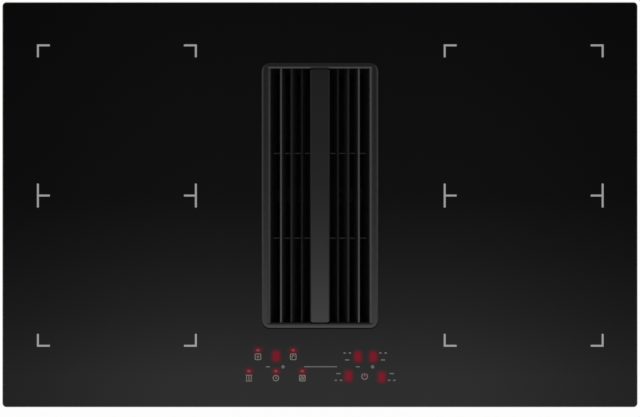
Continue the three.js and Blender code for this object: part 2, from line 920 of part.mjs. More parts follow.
function intakeCollar() {
  const inner = [openingWidth, openingLength, collarCorner];
  const outer = [collarWidth, collarLength, collarCorner + collarWall];
  const flange = [collarWidth + 2 * collarFlange, collarLength + 2 * collarFlange, collarCorner];
  const ledge = [openingWidth - 2 * ledgeWidth, openingLength - 2 * ledgeWidth, collarCorner];
  return join(
    ring(flange, inner, glassUnder - collarFlangeThickness, glassUnder),
    ring(outer, inner, collarBottom, glassUnder),
    ring(outer, ledge, ledgeTop - ledgeThickness, ledgeTop),
  );
}

// The lower shaft hangs from the tray. A window leads to the blower and a drain to the tank.
function shaftBox() {
  const corner = collarCorner + collarWall;
  const outer = [shaftWidth, shaftLength, corner + shaftWall];
  const flange = [shaftWidth + 2 * shaftFlange, shaftLength + 2 * shaftFlange, corner];
  const inside = [shaftInnerWidth, shaftInnerLength, corner];
  const floor = shaftUnder + shaftWall;
  const socket = [tankWidth + 2 * slideGap, tankDepth + 2 * slideGap, tankCorner + slideGap];
  const socketOuter = socket.map((size) => size + 2 * tankSocketWall);
  const ribs = [];
  for (let i = 0; i < shaftRibs; i += 1) {
    const y = (i / (shaftRibs - 1) - 0.5) * (shaftLength - 4 * corner);
    const left = -shaftWidth / 2;
    const half = shaftRibThickness / 2;
    const ribTop = trayUnder - shaftFlangeThickness / 2;
    const depth = [y - half, y + half];
    ribs.push(box(left - shaftRibHeight, left + bite, ...depth, shaftUnder, ribTop));
  }
  const windowLow = plenumUnder + plenumWall;
  const windowHigh = plenumTop - 2 * plenumWall;
  const windowY = blowerY - grilleCentreY;
  const windowHalf = plenumRadius - 2 * plenumWall;
  return cut(
    join(
      roundedSlab(...outer, shaftUnder, trayUnder),
      roundedSlab(...flange, trayUnder - shaftFlangeThickness, trayUnder),
      ring(socketOuter, socket, shaftUnder - tankSocket, shaftUnder + bite),
      ...ribs,
    ),
    roundedSlab(...inside, floor, trayUnder + past),
    roundedSlab(drainWidth, drainDepth, tankCorner, shaftUnder - past, floor + past),
    box(
      shaftInnerWidth / 2 - past,
      shaftWidth / 2 + past,
      windowY - windowHalf,
      windowY + windowHalf,
      windowLow,
      windowHigh,
    ),
  );
}

function collectionTank() {
  const outer = [tankWidth, tankDepth, tankCorner];
  const inner = outer.map((size) => size - 2 * tankWall);
  const top = shaftUnder - seatGap;
  const under = top - tankHeight;
  return cut(
    roundedSlab(...outer, under, top),
    roundedSlab(...inner, under + tankWall, top + past),
  );
}

// ---------------------------------------------------------------- grease filter

function filterWall(inset, over) {
  const rise = filterHeight - inset;
  const slope = (filterTopHalf - filterBottomHalf) / filterHeight;
  const slant = inset * Math.hypot(1, slope);
  const bottomHalf = filterBottomHalf + slope * inset - slant;
  return [
    [bottomHalf + slope * (rise + over), ledgeTop + over],
    [bottomHalf, filterUnder + inset],
  ];
}

function filterFrame() {
  const half = filterBodyLength / 2;
  const body = alongY(mirrored(filterWall(0, filterRim / 2)), -half, half);
  const hollow = alongY(
    mirrored(filterWall(filterSheet, filterRim + past)),
    -half + filterSheet,
    half - filterSheet,
  );
  const rimInner = [2 * filterTopHalf - 2 * filterSheet, filterBodyLength - 2 * filterSheet];
  const rim = ring(
    [filterRimOuterWidth, filterRimOuterLength, collarCorner - filterSeatGap],
    [...rimInner, filterRimCorner],
    ledgeTop,
    filterTop,
  );
  const windows = [];
  const span = (filterBodyLength - (filterWindows + 1) * filterMullion) / filterWindows;
  for (let i = 0; i < filterWindows; i += 1) {
    const y = -half + filterMullion + i * (span + filterMullion);
    const low = filterUnder + filterWindowEdge;
    const high = ledgeTop - filterWindowEdge;
    windows.push(box(-filterTopHalf, filterTopHalf, y, y + span, low, high));
  }
  return cut(join(cut(body, hollow), rim), ...windows);
}

// A net of diamonds, made upright and then leaned onto the filter's sloping wall.
function filterNet() {
  const slope = (filterTopHalf - filterBottomHalf) / filterHeight;
  const height = (filterHeight - 2 * filterWindowEdge + 2 * meshBorder) * Math.hypot(1, slope);
  const length = filterBodyLength - 2 * filterMullion + 2 * meshBorder;
  const outline = rounded(length, height, meshSheet);
  const cellX = (length - 2 * meshBorder) / meshColumns;
  const cellY = (height - 2 * meshBorder) / meshRows;
  const holes = [];
  for (let column = 0; column < meshColumns; column += 1) {
    for (let row = 0; row < meshRows; row += 1) {
      const x = (column + 0.5) * cellX - length / 2 + meshBorder;
      const y = (row + 0.5) * cellY - height / 2 + meshBorder;
      const dx = cellX / 2 - meshStrand / 2;
      const dy = cellY / 2 - meshStrand / 2;
      const hole = new THREE.Path();
      hole.moveTo(x + dx, y).lineTo(x, y + dy).lineTo(x - dx, y).lineTo(x, y - dy);
      hole.closePath();
      holes.push(hole);
    }
  }
  return slab(outline, 0, meshSheet, holes).applyMatrix4(standUp());
}

function handleBar() {
  const width = openingWidth - 2 * handleOverhang;
  const top = filterTop + handleThickness;
  const bar = roundedSlab(width, handleWidth, handleCorner, filterTop, top);
  const slot = [width / 2, handleWidth / 2, handleCorner - 1];
  return cut(bar, roundedSlab(...slot, filterTop - past, top + past));
}

// ---------------------------------------------------------------- extractor blower

function plenumOutline(inset = 0) {
  const near = (shaftWidth / 2 + seatGap) - blowerX;
  const radius = plenumRadius - inset;
  const outline = new THREE.Shape();
  outline.moveTo(near, -radius);
  outline.lineTo(0, -radius);
  outline.absarc(0, 0, radius, -Math.PI / 2, Math.PI / 2);
  outline.lineTo(near, radius);
  outline.closePath();
  return outline;
}

function plenumSlab(inset, z0, z1) {
  const options = { depth: z1 - z0, bevelEnabled: false, curveSegments: plenumSteps };
  return new THREE.ExtrudeGeometry(plenumOutline(inset), options).translate(0, 0, z0);
}

// The inlet plenum: a dished cover, open to the shaft and below, on four hangers.
function plenumCover() {
  const near = (shaftWidth / 2 + seatGap) - blowerX;
  const half = plenumRadius - plenumWall;
  const top = plenumTop - plenumWall;
  const hangers = [];
  for (const sx of [-1, 1]) {
    for (const sy of [-1, 1]) {
      const at = [sx * hangerX, sy * hangerY];
      hangers.push(cylinder(hangerRadius, ...at, plenumTop - bite, trayUnder));
    }
  }
  return cut(
    join(plenumSlab(0, plenumUnder, plenumTop), ...hangers),
    plenumSlab(plenumWall, plenumUnder - past, top),
    box(near - past, near + past, -half, half, plenumUnder - past, top),
  );
}

function spiralSlab(inset, reach, z0, z1) {
  return slab(polygon(spiral(blowerInner, blowerOuter, reach, blowerSteps, inset)), z0, z1);
}

function scrollCover() {
  const lipUnder = scrollTop - inletDepth;
  const nozzle = turned([
    [inletRadius, lipUnder],
    [inletRadius + inletLip, lipUnder],
    [inletRadius + inletLip, scrollTop - inletLip],
    [inletRadius + inletFlare + inletLip, plenumUnder - blowerWall / 2],
    [inletRadius + inletFlare, plenumUnder],
    [inletRadius + inletLip / 2, scrollTop],
    [inletRadius, scrollTop - inletLip],
    [inletRadius, lipUnder],
  ]);
  const plate = join(
    spiralSlab(0, blowerReach, scrollTop, plenumUnder),
    plenumSlab(0, scrollTop, plenumUnder),
  );
  const eye = cylinder(
    inletRadius + inletFlare,
    0,
    0,
    scrollTop - past,
    plenumUnder + past,
    roundSteps,
  );
  return join(cut(plate, eye), nozzle);
}

function scrollHousing() {
  const tongueX = blowerInner * Math.cos(blowerTongue);
  const shell = cut(
    spiralSlab(0, blowerReach, scrollUnder, scrollTop),
    spiralSlab(blowerWall, blowerReach + past, scrollFloor, scrollTop + past),
  );
  const flange = cut(
    box(
      tongueX - blowerFlange,
      blowerOuter + blowerFlange,
      blowerReach - blowerFlange,
      blowerReach,
      scrollUnder,
      scrollTop,
    ),
    box(
      tongueX + blowerWall / 2,
      blowerOuter - blowerWall / 2,
      blowerReach - blowerFlange - past,
      blowerReach + past,
      scrollFloor - blowerWall / 2,
      scrollTop + past,
    ),
  );
  const seatTop = scrollFloor + motorSeatHeight;
  const seat = cut(
    cylinder(motorRadius + motorSeatWall, 0, 0, scrollFloor - bite, seatTop, motorSteps),
    cylinder(motorRadius + slideGap, 0, 0, scrollFloor, seatTop + past, motorSteps),
  );
  return join(shell, flange, seat);
}

function impellerShape() {
  const bore = shaftRadius + seatGap;
  const sheetTop = impellerUnder + impellerSheet;
  const hubTopLevel = hubUnder + hubHeight;
  const disc = turned([
    [bore, hubUnder],
    [hubRadius, hubUnder],
    [hubRadius, cupTop - impellerSheet],
    [impellerCupTop, cupTop - impellerSheet],
    [impellerCupBottom, impellerUnder],
    [impellerRadius, impellerUnder],
    [impellerRadius, sheetTop],
    [impellerCupBottom + impellerSheet, sheetTop],
    [impellerCupTop + impellerSheet, cupTop],
    [hubRadius, cupTop],
    [hubRadius, hubTopLevel],
    [bore, hubTopLevel],
    [bore, hubUnder],
  ]);
  const rim = turned([
    [impellerInner, impellerTop - impellerRing],
    [impellerRadius, impellerTop - impellerRing],
    [impellerRadius, impellerTop],
    [impellerInner, impellerTop],
    [impellerInner, impellerTop - impellerRing],
  ]);
  const low = impellerUnder + impellerSheet / 2;
  const high = impellerTop - impellerRing / 2;
  const span = [impellerInner + bite, impellerRadius - bite];
  return join(disc, rim, ...bladeRing(impellerBlades, ...span, impellerBladeSheet, low, high));
}

function impellerShaft() {
  const low = motorTop - motorBore + seatGap;
  return cylinder(shaftRadius, 0, 0, low, hubUnder + hubHeight + shaftEnd);
}

function motorBody() {
  const bore = shaftRadius + seatGap;
  return turned([
    [0, scrollFloor],
    [motorRadius, scrollFloor],
    [motorRadius, motorTop - motorShoulder],
    [motorRadius - motorShoulderInset, motorTop],
    [bore, motorTop],
    [bore, motorTop - motorBore],
    [0, motorTop - motorBore],
  ], motorSteps);
}

// The spigot widens from the blower's outlet to the flat duct.
function outletSpigot() {
  const right = blowerOuter;
  const left = blowerInner * Math.cos(blowerTongue);
  const middle = (scrollUnder + plenumUnder) / 2;
  const duct = [right - ductWidth, right, middle - ductHeight / 2, middle + ductHeight / 2];
  const throat = [left, right, scrollUnder, plenumUnder];
  const shrink = ([x0, x1, z0, z1], wall) => [x0 + wall, x1 - wall, z0 + wall, z1 - wall];
  const y0 = blowerReach;
  const y1 = y0 + spigotTaper;
  const y2 = y1 + spigotSleeve;
  return cut(
    join(transition(throat, duct, y0, y1), transition(duct, duct, y1 - 0.01, y2)),
    transition(shrink(throat, ductWall), shrink(duct, ductWall), y0 - 0.01, y1 + 0.01),
    transition(shrink(duct, ductWall), shrink(duct, ductWall), y1 - 0.5, y2 + 1),
  );
}

// ---------------------------------------------------------------- mains connection

function terminalBox() {
  const halfX = terminalWidth / 2;
  const halfY = terminalDepth / 2;
  const low = trayUnder - terminalHeight;
  const wall = terminalWall;
  const shell = box(-halfX, halfX, -halfY, halfY, low, trayUnder);
  const inside = box(
    -halfX + wall,
    halfX - wall,
    -halfY + wall,
    halfY - wall,
    low - past,
    trayUnder - wall,
  );
  const entry = cylinder(glandNutRadius, 0, 0, trayUnder - 2 * wall, trayUnder + past);
  const hole = cylinder(glandRadius + slideGap, 0, 0, -2 * wall, 2 * wall, glandSteps)
    .rotateX(Math.PI / 2)
    .translate(0, halfY, trayUnder - terminalHeight / 2);
  return cut(shell, inside, entry, hole);
}

function terminalCover() {
  const low = trayUnder - terminalHeight;
  const wall = terminalWall;
  const halfX = terminalWidth / 2;
  const halfY = terminalDepth / 2;
  const plug = [halfX - wall - slideGap, halfY - wall - slideGap];
  return join(
    box(-halfX, halfX, -halfY, halfY, low - wall, low),
    box(-plug[0], plug[0], -plug[1], plug[1], low - bite, low + wall),
  );
}

// The gland: a body through the box's back wall, with a hexagonal nut outside.
function cableGland() {
  const inside = -2 * terminalWall;
  const nut = new THREE.CylinderGeometry(glandNutRadius, glandNutRadius, glandNutLength, 6)
    .rotateX(Math.PI / 2)
    .translate(0, 0, glandNutLength / 2 + seatGap);
  const body = cylinder(glandRadius, 0, 0, inside, glandLength, glandSteps);
  const bore = cylinder(glandBore, 0, 0, inside - past, glandLength + past, glandSteps);
  return toGeometry(cut(join(nut, body), bore)).rotateX(-Math.PI / 2);
}

// ---------------------------------------------------------------- spring clips

// A leaf that bows out from the tray's end wall to the edge of the cut-out.
function springClip() {
  const bow = cutoutClearance - 2 * seatGap;
  const high = -clipDrop;
  const low = high - clipHeight;
  const leaf = (offset) => {
    const points = [];
    for (let i = 0; i <= clipSteps; i += 1) {
      const share = i / clipSteps;
      const out = Math.sin(Math.PI * share) * (bow - clipSheet) + offset;
      points.push([out, high + (low - high) * share]);
    }
    return points;
  };
  const profile = [...leaf(clipSheet), ...leaf(0).reverse()];
  return alongY(profile, -clipWidth / 2, clipWidth / 2);
}

// ---------------------------------------------------------------- assembly

function place(name, shape, look, x = 0, y = 0, z = 0) {
  const mesh = new THREE.Mesh(toGeometry(shape), look);
  mesh.name = name;
  mesh.position.set(x, y, z);
  return mesh;
}

function glassGroup() {
  const group = new THREE.Group();
  group.add(place('glass_top', glassPlate(), blackGlass()));
  group.add(place('sealing_gasket', gasket(), foamRubber()));
  group.add(place('base_tray', cut(trayShell(), ...trayCuts()), galvanisedSteel()));
  return group;
}

function zoneGroup() {
  const group = new THREE.Group();
  for (const [sideName, side] of sides) {
    const x = side * zoneCentreX;
    const sheet = place(`insulation_sheet_${sideName}`, insulation(), micaSheet());
    sheet.position.set(x, zoneCentreY, 0);
    group.add(sheet);
    for (const [endName, end] of ends) {
      const tag = `${sideName}_${endName}`;
      const y = zoneCentreY + end * zoneDepth / 2;
      group.add(place(`induction_coil_${tag}`, coil(), copperLitz(), x, y));
      group.add(place(`coil_carrier_${tag}`, coilCarrier(), rawAluminium(), x, y));
      group.add(place(`temperature_sensor_${tag}`, temperatureSensor(), whitePlastic(), x, y));
    }
  }
  return group;
}

function electronicsGroup() {
  const group = new THREE.Group();
  for (const [name, side] of sides) {
    const x = side * zoneCentreX;
    const cooler = [side * coolerX, zoneCentreY];
    group.add(place(`power_board_${name}`, powerBoard(), circuitBoard(), x, zoneCentreY));
    group.add(place(`heat_sink_${name}`, heatSink(), rawAluminium(), x, zoneCentreY));
    const housing = place(`cooling_blower_${name}`, coolerHousing(), blackPlastic(), ...cooler);
    housing.rotation.z = -side * Math.PI / 2;
    group.add(housing);
    group.add(place(`cooling_rotor_${name}`, coolerRotorShape(), greyPlastic(), ...cooler));
    const guideX = side * lightGuideOffset;
    group.add(place(`light_guide_${name}`, lightGuide(), blackPlastic(), guideX, controlsY));
  }
  group.add(place('control_carrier', controlCarrier(), greyPlastic(), 0, controlsY));
  group.add(place('touch_board', touchBoard(), circuitBoard(), 0, controlsY));
  return group;
}

function grilleGroup() {
  const group = new THREE.Group();
  const names = ['inner', 'middle', 'outer'];
  group.position.y = grilleCentreY;
  group.add(place('grille_frame', grilleFrame(), blackAluminium()));
  group.add(place('grille_spine', spineBar(), blackAluminium()));
  for (const [sideName, side] of sides) {
    for (let number = 0; number < louvreCount; number += 1) {
      const name = `louvre_${sideName}_${names[number]}`;
      group.add(place(name, louvre(side, number), blackAluminium()));
    }
  }
  for (const [name, end] of ends) {
    group.add(place(`cross_rod_${name}`, crossRod(end), darkSteel()));
  }
  return group;
}

function filterGroup() {
  const group = new THREE.Group();
  group.position.y = grilleCentreY;
  group.add(place('filter_frame', filterFrame(), blackPlastic()));
  group.add(place('filter_handle', handleBar(), blackPlastic()));
  const slope = (filterTopHalf - filterBottomHalf) / filterHeight;
  const lean = Math.atan(slope);
  const middle = (filterTopHalf + filterBottomHalf) / 2;
  const inset = filterSheet + seatGap + meshSheet;
  for (const [name, side] of sides) {
    const net = place(`filter_mesh_${name}`, filterNet(), filterSteel());
    const stand = new THREE.Group();
    const tilt = new THREE.Group();
    stand.rotation.z = side > 0 ? 0 : Math.PI;
    stand.position.z = ledgeTop - filterHeight / 2;
    tilt.rotation.y = lean;
    tilt.position.x = middle;
    net.position.x = -inset;
    tilt.add(net);
    stand.add(tilt);
    group.add(stand);
  }
  return group;
}

function shaftGroup() {
  const group = new THREE.Group();
  group.position.y = grilleCentreY;
  group.add(place('intake_collar', intakeCollar(), blackPlastic()));
  group.add(place('shaft_box', shaftBox(), greyPlastic()));
  group.add(place('collection_tank', collectionTank(), blackPlastic()));
  return group;
}

function blowerGroup() {
  const group = new THREE.Group();
  group.position.set(blowerX, blowerY, 0);
  group.add(place('plenum_cover', plenumCover(), greyPlastic()));
  group.add(place('scroll_cover', scrollCover(), greyPlastic()));
  group.add(place('scroll_housing', scrollHousing(), greyPlastic()));
  group.add(place('impeller', impellerShape(), blackPlastic()));
  group.add(place('impeller_shaft', impellerShaft(), darkSteel()));
  group.add(place('extractor_motor', motorBody(), galvanisedSteel()));
  group.add(place('outlet_spigot', outletSpigot(), greyPlastic()));
  return group;
}

function mainsGroup() {
  const group = new THREE.Group();
  group.position.set(terminalX, terminalY, 0);
  const glandY = terminalDepth / 2;
  const glandZ = trayUnder - terminalHeight / 2;
  group.add(place('terminal_box', terminalBox(), blackPlastic()));
  group.add(place('terminal_cover', terminalCover(), blackPlastic()));
  group.add(place('cable_gland', cableGland(), blackPlastic(), 0, glandY, glandZ));
  return group;
}

function clipGroup() {
  const group = new THREE.Group();
  for (const [sideName, side] of sides) {
    for (const [endName, end] of ends) {
      const clip = place(`spring_clip_${sideName}_${endName}`, springClip(), springSteel());
      clip.position.set(side * (trayLength / 2 + seatGap), end * clipOffsetY, 0);
      clip.rotation.z = side > 0 ? 0 : Math.PI;
      group.add(clip);
    }
  }
  return group;
}

const cooktop = new THREE.Group();
cooktop.name = 'downdraft_induction_cooktop';
cooktop.add(
  glassGroup(),
  zoneGroup(),
  electronicsGroup(),
  grilleGroup(),
  filterGroup(),
  shaftGroup(),
  blowerGroup(),
  mainsGroup(),
  clipGroup(),
);

export default cooktop;
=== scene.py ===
"""Dresses the downdraft induction cooktop: finishes, glass print, fittings and studio."""

import math

import bmesh
import bpy
from bpy.props import FloatProperty, FloatVectorProperty, IntProperty, PointerProperty
from mathutils import Matrix, Vector


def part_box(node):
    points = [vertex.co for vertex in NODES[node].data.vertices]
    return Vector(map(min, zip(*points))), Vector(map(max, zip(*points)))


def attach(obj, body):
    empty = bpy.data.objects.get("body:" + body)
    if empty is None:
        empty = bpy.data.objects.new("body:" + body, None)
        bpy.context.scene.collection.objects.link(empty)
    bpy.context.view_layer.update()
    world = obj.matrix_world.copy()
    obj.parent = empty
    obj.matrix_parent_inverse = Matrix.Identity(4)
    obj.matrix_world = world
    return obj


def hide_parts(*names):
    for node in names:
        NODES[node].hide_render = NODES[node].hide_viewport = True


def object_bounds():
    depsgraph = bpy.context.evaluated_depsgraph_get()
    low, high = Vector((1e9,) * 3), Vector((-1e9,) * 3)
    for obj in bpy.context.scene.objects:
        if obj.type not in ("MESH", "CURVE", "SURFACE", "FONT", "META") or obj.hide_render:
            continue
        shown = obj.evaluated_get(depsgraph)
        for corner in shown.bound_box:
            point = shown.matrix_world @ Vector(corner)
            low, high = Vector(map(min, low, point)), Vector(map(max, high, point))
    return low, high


bl_info = {
    "name": "Downdraft Cooktop",
    "version": (1, 0, 0),
    "blender": (4, 5, 0),
    "location": "View3D > Sidebar > Cooktop",
    "description": "Finishes a built-in induction cooktop with a central extractor",
    "category": "Object",
}

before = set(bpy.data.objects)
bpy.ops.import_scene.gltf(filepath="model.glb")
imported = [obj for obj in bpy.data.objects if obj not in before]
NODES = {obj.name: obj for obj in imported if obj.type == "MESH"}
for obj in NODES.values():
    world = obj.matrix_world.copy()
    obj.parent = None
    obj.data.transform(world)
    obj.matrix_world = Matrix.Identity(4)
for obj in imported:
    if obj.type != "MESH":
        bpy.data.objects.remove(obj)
CAD_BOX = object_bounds()
MM = 0.001
SIDES = (("left", -1), ("right", 1))
ENDS = ("rear", "front")
LOUVRES = ("inner", "middle", "outer")

ROUND_STEPS = 24
CORNER_STEPS = 10
SMOOTH_ANGLE = math.radians(32)
SOFTENED_ANGLE = math.radians(28)
SAME_POINT = 1e-7
WELD_DISTANCE = 1e-5

GLASS_IOR = 1.52
GLASS_LOW, GLASS_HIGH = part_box("glass_top")
GRILLE_LOW, GRILLE_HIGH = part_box("grille_frame")
GRILLE_Y = (GRILLE_LOW.y + GRILLE_HIGH.y) / 2
GRILLE_HALF_Y = (GRILLE_HIGH.y - GRILLE_LOW.y) / 2
TRAY_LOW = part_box("base_tray")[0]

# How far print and lights reach down into the glass, so that nothing shows under them
PRINT_ROOT = 0.02 * MM

# Middles of the touch symbols, lights, digits and signs on the glass, in millimetres
SYMBOLS = ((-78.1, -191.6), (-33.7, -191.6), (-89.5, -218.4), (-55.5, -218.4), (-22.2, -218.4))
INDICATORS = ((-78.1, -183.4), (-33.7, -183.4), (-89.5, -209.6), (-55.5, -209.6), (-22.2, -209.6))
DIGITS = ((-55.3, -190.6), (47.7, -191.2), (67.0, -191.2), (35.9, -215.8), (77.7, -217.0))
MINUS_SIGNS = ((-65.6, -204.2), (47.7, -204.2))
PLUS_SIGNS = ((-46.5, -204.2), (66.3, -204.2))
SWITCH_SIGN = (56.2, -216.3)
# Each zone's key: its middle across, and where its pair of squares and its bar lie in depth
ZONE_KEYS = (
    (34.4, -186.8, -195.5), (79.4, -186.8, -195.5), (23.2, -221.2, -212.7), (90.4, -221.2, -212.7),
)
# The line between the controls: its middle, width and depth
CONTROL_LINE = (0.8, -204.1, 41.6, 1.3)
# The fading light, from the outside inwards: its finish, and its half width and half depth
# round an indicator and round a digit
HALOS = (
    ("dim", (7.4, 5.8), (7.8, 9.8)), ("faint", (6.1, 4.6), (6.6, 8.6)),
    ("soft", (4.8, 3.5), (5.5, 7.5)), ("near", (3.4, 2.3), (4.5, 6.5)),
)

# A screw's outline from its seat upwards, as widths and heights, and its six-sided socket,
# all in head radii
SCREW_HEAD = ((1, -0.1), (1, 0.3), (0.9, 0.52), (0.62, 0.72), (0.5, 0.75))
SCREW_SOCKET = 0.42
SOCKET_HEIGHTS = (0.75, 0.3)

# Brightness of what the glass mirrors, from the wall's side, 0, to the cook's side, 1
CEILING_STOPS = ((0.0, 0.045), (0.48, 0.09), (0.61, 0.19), (0.74, 0.34), (0.88, 0.6), (1.0, 0.62))
WALL_STOPS = ((0.0, 0.1), (0.1, 0.35), (0.9, 0.4), (1.0, 0.62))
# How far those stops reach each way in depth, and where the ceiling fades and ends towards
# the sides, in metres
CEILING_REACH = 0.32
WALL_REACH = 1.5
FADE_START, FADE_END, FADE_LEVEL = 0.15, 0.5, 0.56
CEILING_END, SIDES_START = 0.55, 0.75

FLOOR_HALF = 8.0
FLOOR_WHITE = 0.95
# Each lamp: its name, place and size in metres, and the setting that gives its power
LAMPS = (
    ("key", (0.0, -2.6, 1.9), 2.4, "key"),
    ("left_fill", (-2.6, 0.3, 1.7), 1.8, "fill"),
    ("right_fill", (2.6, 0.3, 1.7), 1.8, "fill"),
)


# ------------------------------------------------------------------ settings


def length(name, description, default, low=0.0):
    return FloatProperty(
        name=name, description=description, default=default, min=low, unit="LENGTH", precision=4
    )


def amount(name, description, default, high=1.0):
    return FloatProperty(name=name, description=description, default=default, min=0.0, max=high)


def colour(name, description, default):
    limits = {"size": 3, "min": 0.0, "max": 1.0}
    return FloatVectorProperty(
        name=name, description=description, default=default, subtype="COLOR", **limits
    )


class GlassSettings(bpy.types.PropertyGroup):
    edge: length("Edge radius", "Radius of the ground edge of the glass", 1.4 * MM)
    corner: length("Corner radius", "Radius of the four corners seen from above", 5 * MM)
    mouth_corner: length("Opening corner", "Corner radius of the extractor's opening", 6 * MM)
    tint: colour("Glass", "Body colour of the glass ceramic", (0.0026, 0.0026, 0.0028))
    # The ground edge's lighter tone is partly the ground glass's own colour and partly a painted
    # highlight along the rim
    ground: colour("Ground edge", "Colour of the finely ground edge", (0.055, 0.055, 0.056))
    polish: amount("Roughness", "Roughness of the polished face", 0.045)


class PrintSettings(bpy.types.PropertyGroup):
    thickness: length("Print height", "Height of the fired print above the glass", 0.06 * MM)
    zone_x: length("Zone middle", "Place of the zones' middle line across", 0.4 * MM)
    zone_x_outer: length("Zone outer mark", "Distance of the outer marks from the middle", 355.65 * MM)
    zone_x_inner: length("Zone inner mark", "Distance of the inner marks from the middle", 156.7 * MM)
    zone_y: length("Zone centre", "Place of the zones' centre line in depth", 11.5 * MM)
    zone_reach: length("Zone reach", "Distance of the corner marks from the centre line", 189.2 * MM)
    mark_arm: length("Mark arm", "Length of each arm of a zone mark", 15 * MM)
    mark_stroke: length("Mark stroke", "Width of a zone mark's line", 2.4 * MM)
    icon: length("Symbol size", "Width of a touch symbol", 8.2 * MM)
    icon_stroke: length("Symbol stroke", "Width of a symbol's line", 0.9 * MM)
    digit_width: length("Digit width", "Width of a lit digit", 6.1 * MM)
    digit_height: length("Digit height", "Height of a lit digit", 9.7 * MM)
    mark_colour: colour("Marks", "Colour of the zone marks", (0.42, 0.42, 0.41))
    icon_colour: colour("Symbols", "Colour of the touch symbols", (0.27, 0.228, 0.2))
    power_colour: colour("Switch sign", "Colour of the main switch's sign", (0.2, 0.125, 0.145))
    key_colour: colour("Keys", "Colour of the zone keys and the signs", (0.17, 0.155, 0.15))
    line_colour: colour("Line", "Colour of the line between the controls", (0.16, 0.16, 0.155))
    halo: colour("Halo", "Glow just round the lights, which fades outwards", (0.1, 0.003, 0.01))
    led_core: colour("Indicator centres", "Centre of the lit indicators", (0.236, 0.037, 0.057))
    digit_colour: colour("Digits", "Glow of the lit digits", (0.19, 0.0, 0.012))
    window_colour: colour("Digit windows", "Glow between the digits' bars", (0.135, 0.0, 0.009))


class GrilleSettings(bpy.types.PropertyGroup):
    chamfer: length("Frame chamfer", "Outer chamfer of the grille frame", 2 * MM)
    side_width: length("Side width", "Width of the frame's long sides", 11.9 * MM)
    end_width: length("Front width", "Width of the frame's front end", 6.9 * MM)
    rear_width: length("Rear width", "Width of the frame's rear end", 7.0 * MM)
    shoulder: length("Shoulder", "Width of the slope into the mouth", 6.5 * MM)
    shoulder_drop: length("Shoulder drop", "Height of the slope into the mouth", 3.6 * MM)
    corner: length("Frame corner", "Corner radius of the frame", 10.5 * MM)
    inner_corner: length("Mouth corner", "Corner radius of the frame's mouth", 0.8 * MM)
    softening: length("Edge softening", "Rounding of the worked edges", 0.35 * MM)
    metal: colour("Anodising", "Colour of the satin black aluminium", (0.104, 0.104, 0.1055))
    blade: colour("Louvre black", "Colour of the louvres' faces", (0.03, 0.03, 0.031))
    # The louvres' top edges hold painted light and shade: the outer ones are painted lighter, and the
    # middle and inner ones darker than the blade, as light falls on them
    outer_edge: colour("Outer edge", "Colour of the outer louvres' top edges", (0.095, 0.095, 0.097))
    middle_edge: colour("Middle edge", "Colour of the middle louvres' top edges", (0.023, 0.023, 0.024))
    inner_edge: colour("Inner edge", "Colour of the inner louvres' top edges", (0.012, 0.012, 0.012))
    # The spine's chamfers get a darker tone than its face: painted shade
    spine_top: colour("Spine", "Colour of the spine's face", (0.126, 0.126, 0.1275))
    spine_side: colour("Spine edge", "Colour of the spine's chamfers", (0.06, 0.06, 0.061))
    # The frame's steep faces, its skirt and its outer sides, get this lighter tone: painted light where
    # little light reaches
    skirt: colour("Skirt", "Colour of the frame's wall below the glass", (0.2, 0.2, 0.202))
    satin: amount("Roughness", "Roughness of the satin black aluminium", 0.27)


class FilterSettings(bpy.types.PropertyGroup):
    slope: amount("Wall slope", "How far the filter's wall leans out for each unit of height", 0.4)
    sheet: length("Net thickness", "Thickness of the net", 1 * MM)
    border: length("Border", "Width of the net's border", 4 * MM)
    strand: length("Strand", "Width of a strand", 1.3 * MM)
    diamond_width: length("Diamond width", "Distance of the strands along the net", 12 * MM)
    diamond_height: length("Diamond height", "Height of one diamond", 6.5 * MM)


class CasingSettings(bpy.types.PropertyGroup):
    zinc: colour("Zinc", "Colour of the galvanised sheet", (0.46, 0.48, 0.49))
    black: colour("Black plastic", "Colour of the black mouldings", (0.013, 0.013, 0.014))
    grey: colour("Grey plastic", "Colour of the grey mouldings", (0.055, 0.058, 0.06))
    softening: length("Edge softening", "Rounding of sheet and moulded edges", 0.4 * MM)
    screw_head: length("Screw head", "Radius of a screw's head", 3.4 * MM)
    turns: IntProperty(name="Coil turns", description="Turns of each coil", default=16, min=2)
    coil_eye_x: length("Coil eye across", "Half the width of the coils' open middle", 24 * MM)
    coil_eye_y: length("Coil eye deep", "Half the depth of the coils' open middle", 20 * MM)
    coil_eye_corner: length("Coil eye corner", "Corner radius of the coils' middle", 16 * MM)
    coil_corner: length("Coil corner", "Corner radius of the coils' outside", 42 * MM)


class StageSettings(bpy.types.PropertyGroup):
    view_width: length("View width", "Width seen by the camera at the glass", 806.1 * MM)
    view_x: length("View x", "Centre of the view across", 0.05 * MM, low=-1.0)
    view_y: length("View y", "Centre of the view in depth", -4.8 * MM, low=-1.0)
    distance: length("Camera distance", "Height of the camera above the glass", 5.0)
    card_height: length("Card height", "Height of the reflection card", 0.62)
    card_reach: length("Card reach", "Half the width of the reflection card", 1.5)
    side_glow: amount("Side glow", "Level of what the sides mirror", 0.4, 4.0)
    sky: amount("Sky level", "Level of the even light from all round", 0.55, 4.0)
    key: amount("Key power", "Power of the large front lamp in watts", 26.0, 2000.0)
    fill: amount("Fill power", "Power of the side lamps in watts", 12.0, 2000.0)


def settings(name):
    return getattr(bpy.context.scene, f"cooktop_{name}")


# ------------------------------------------------------------------ material building


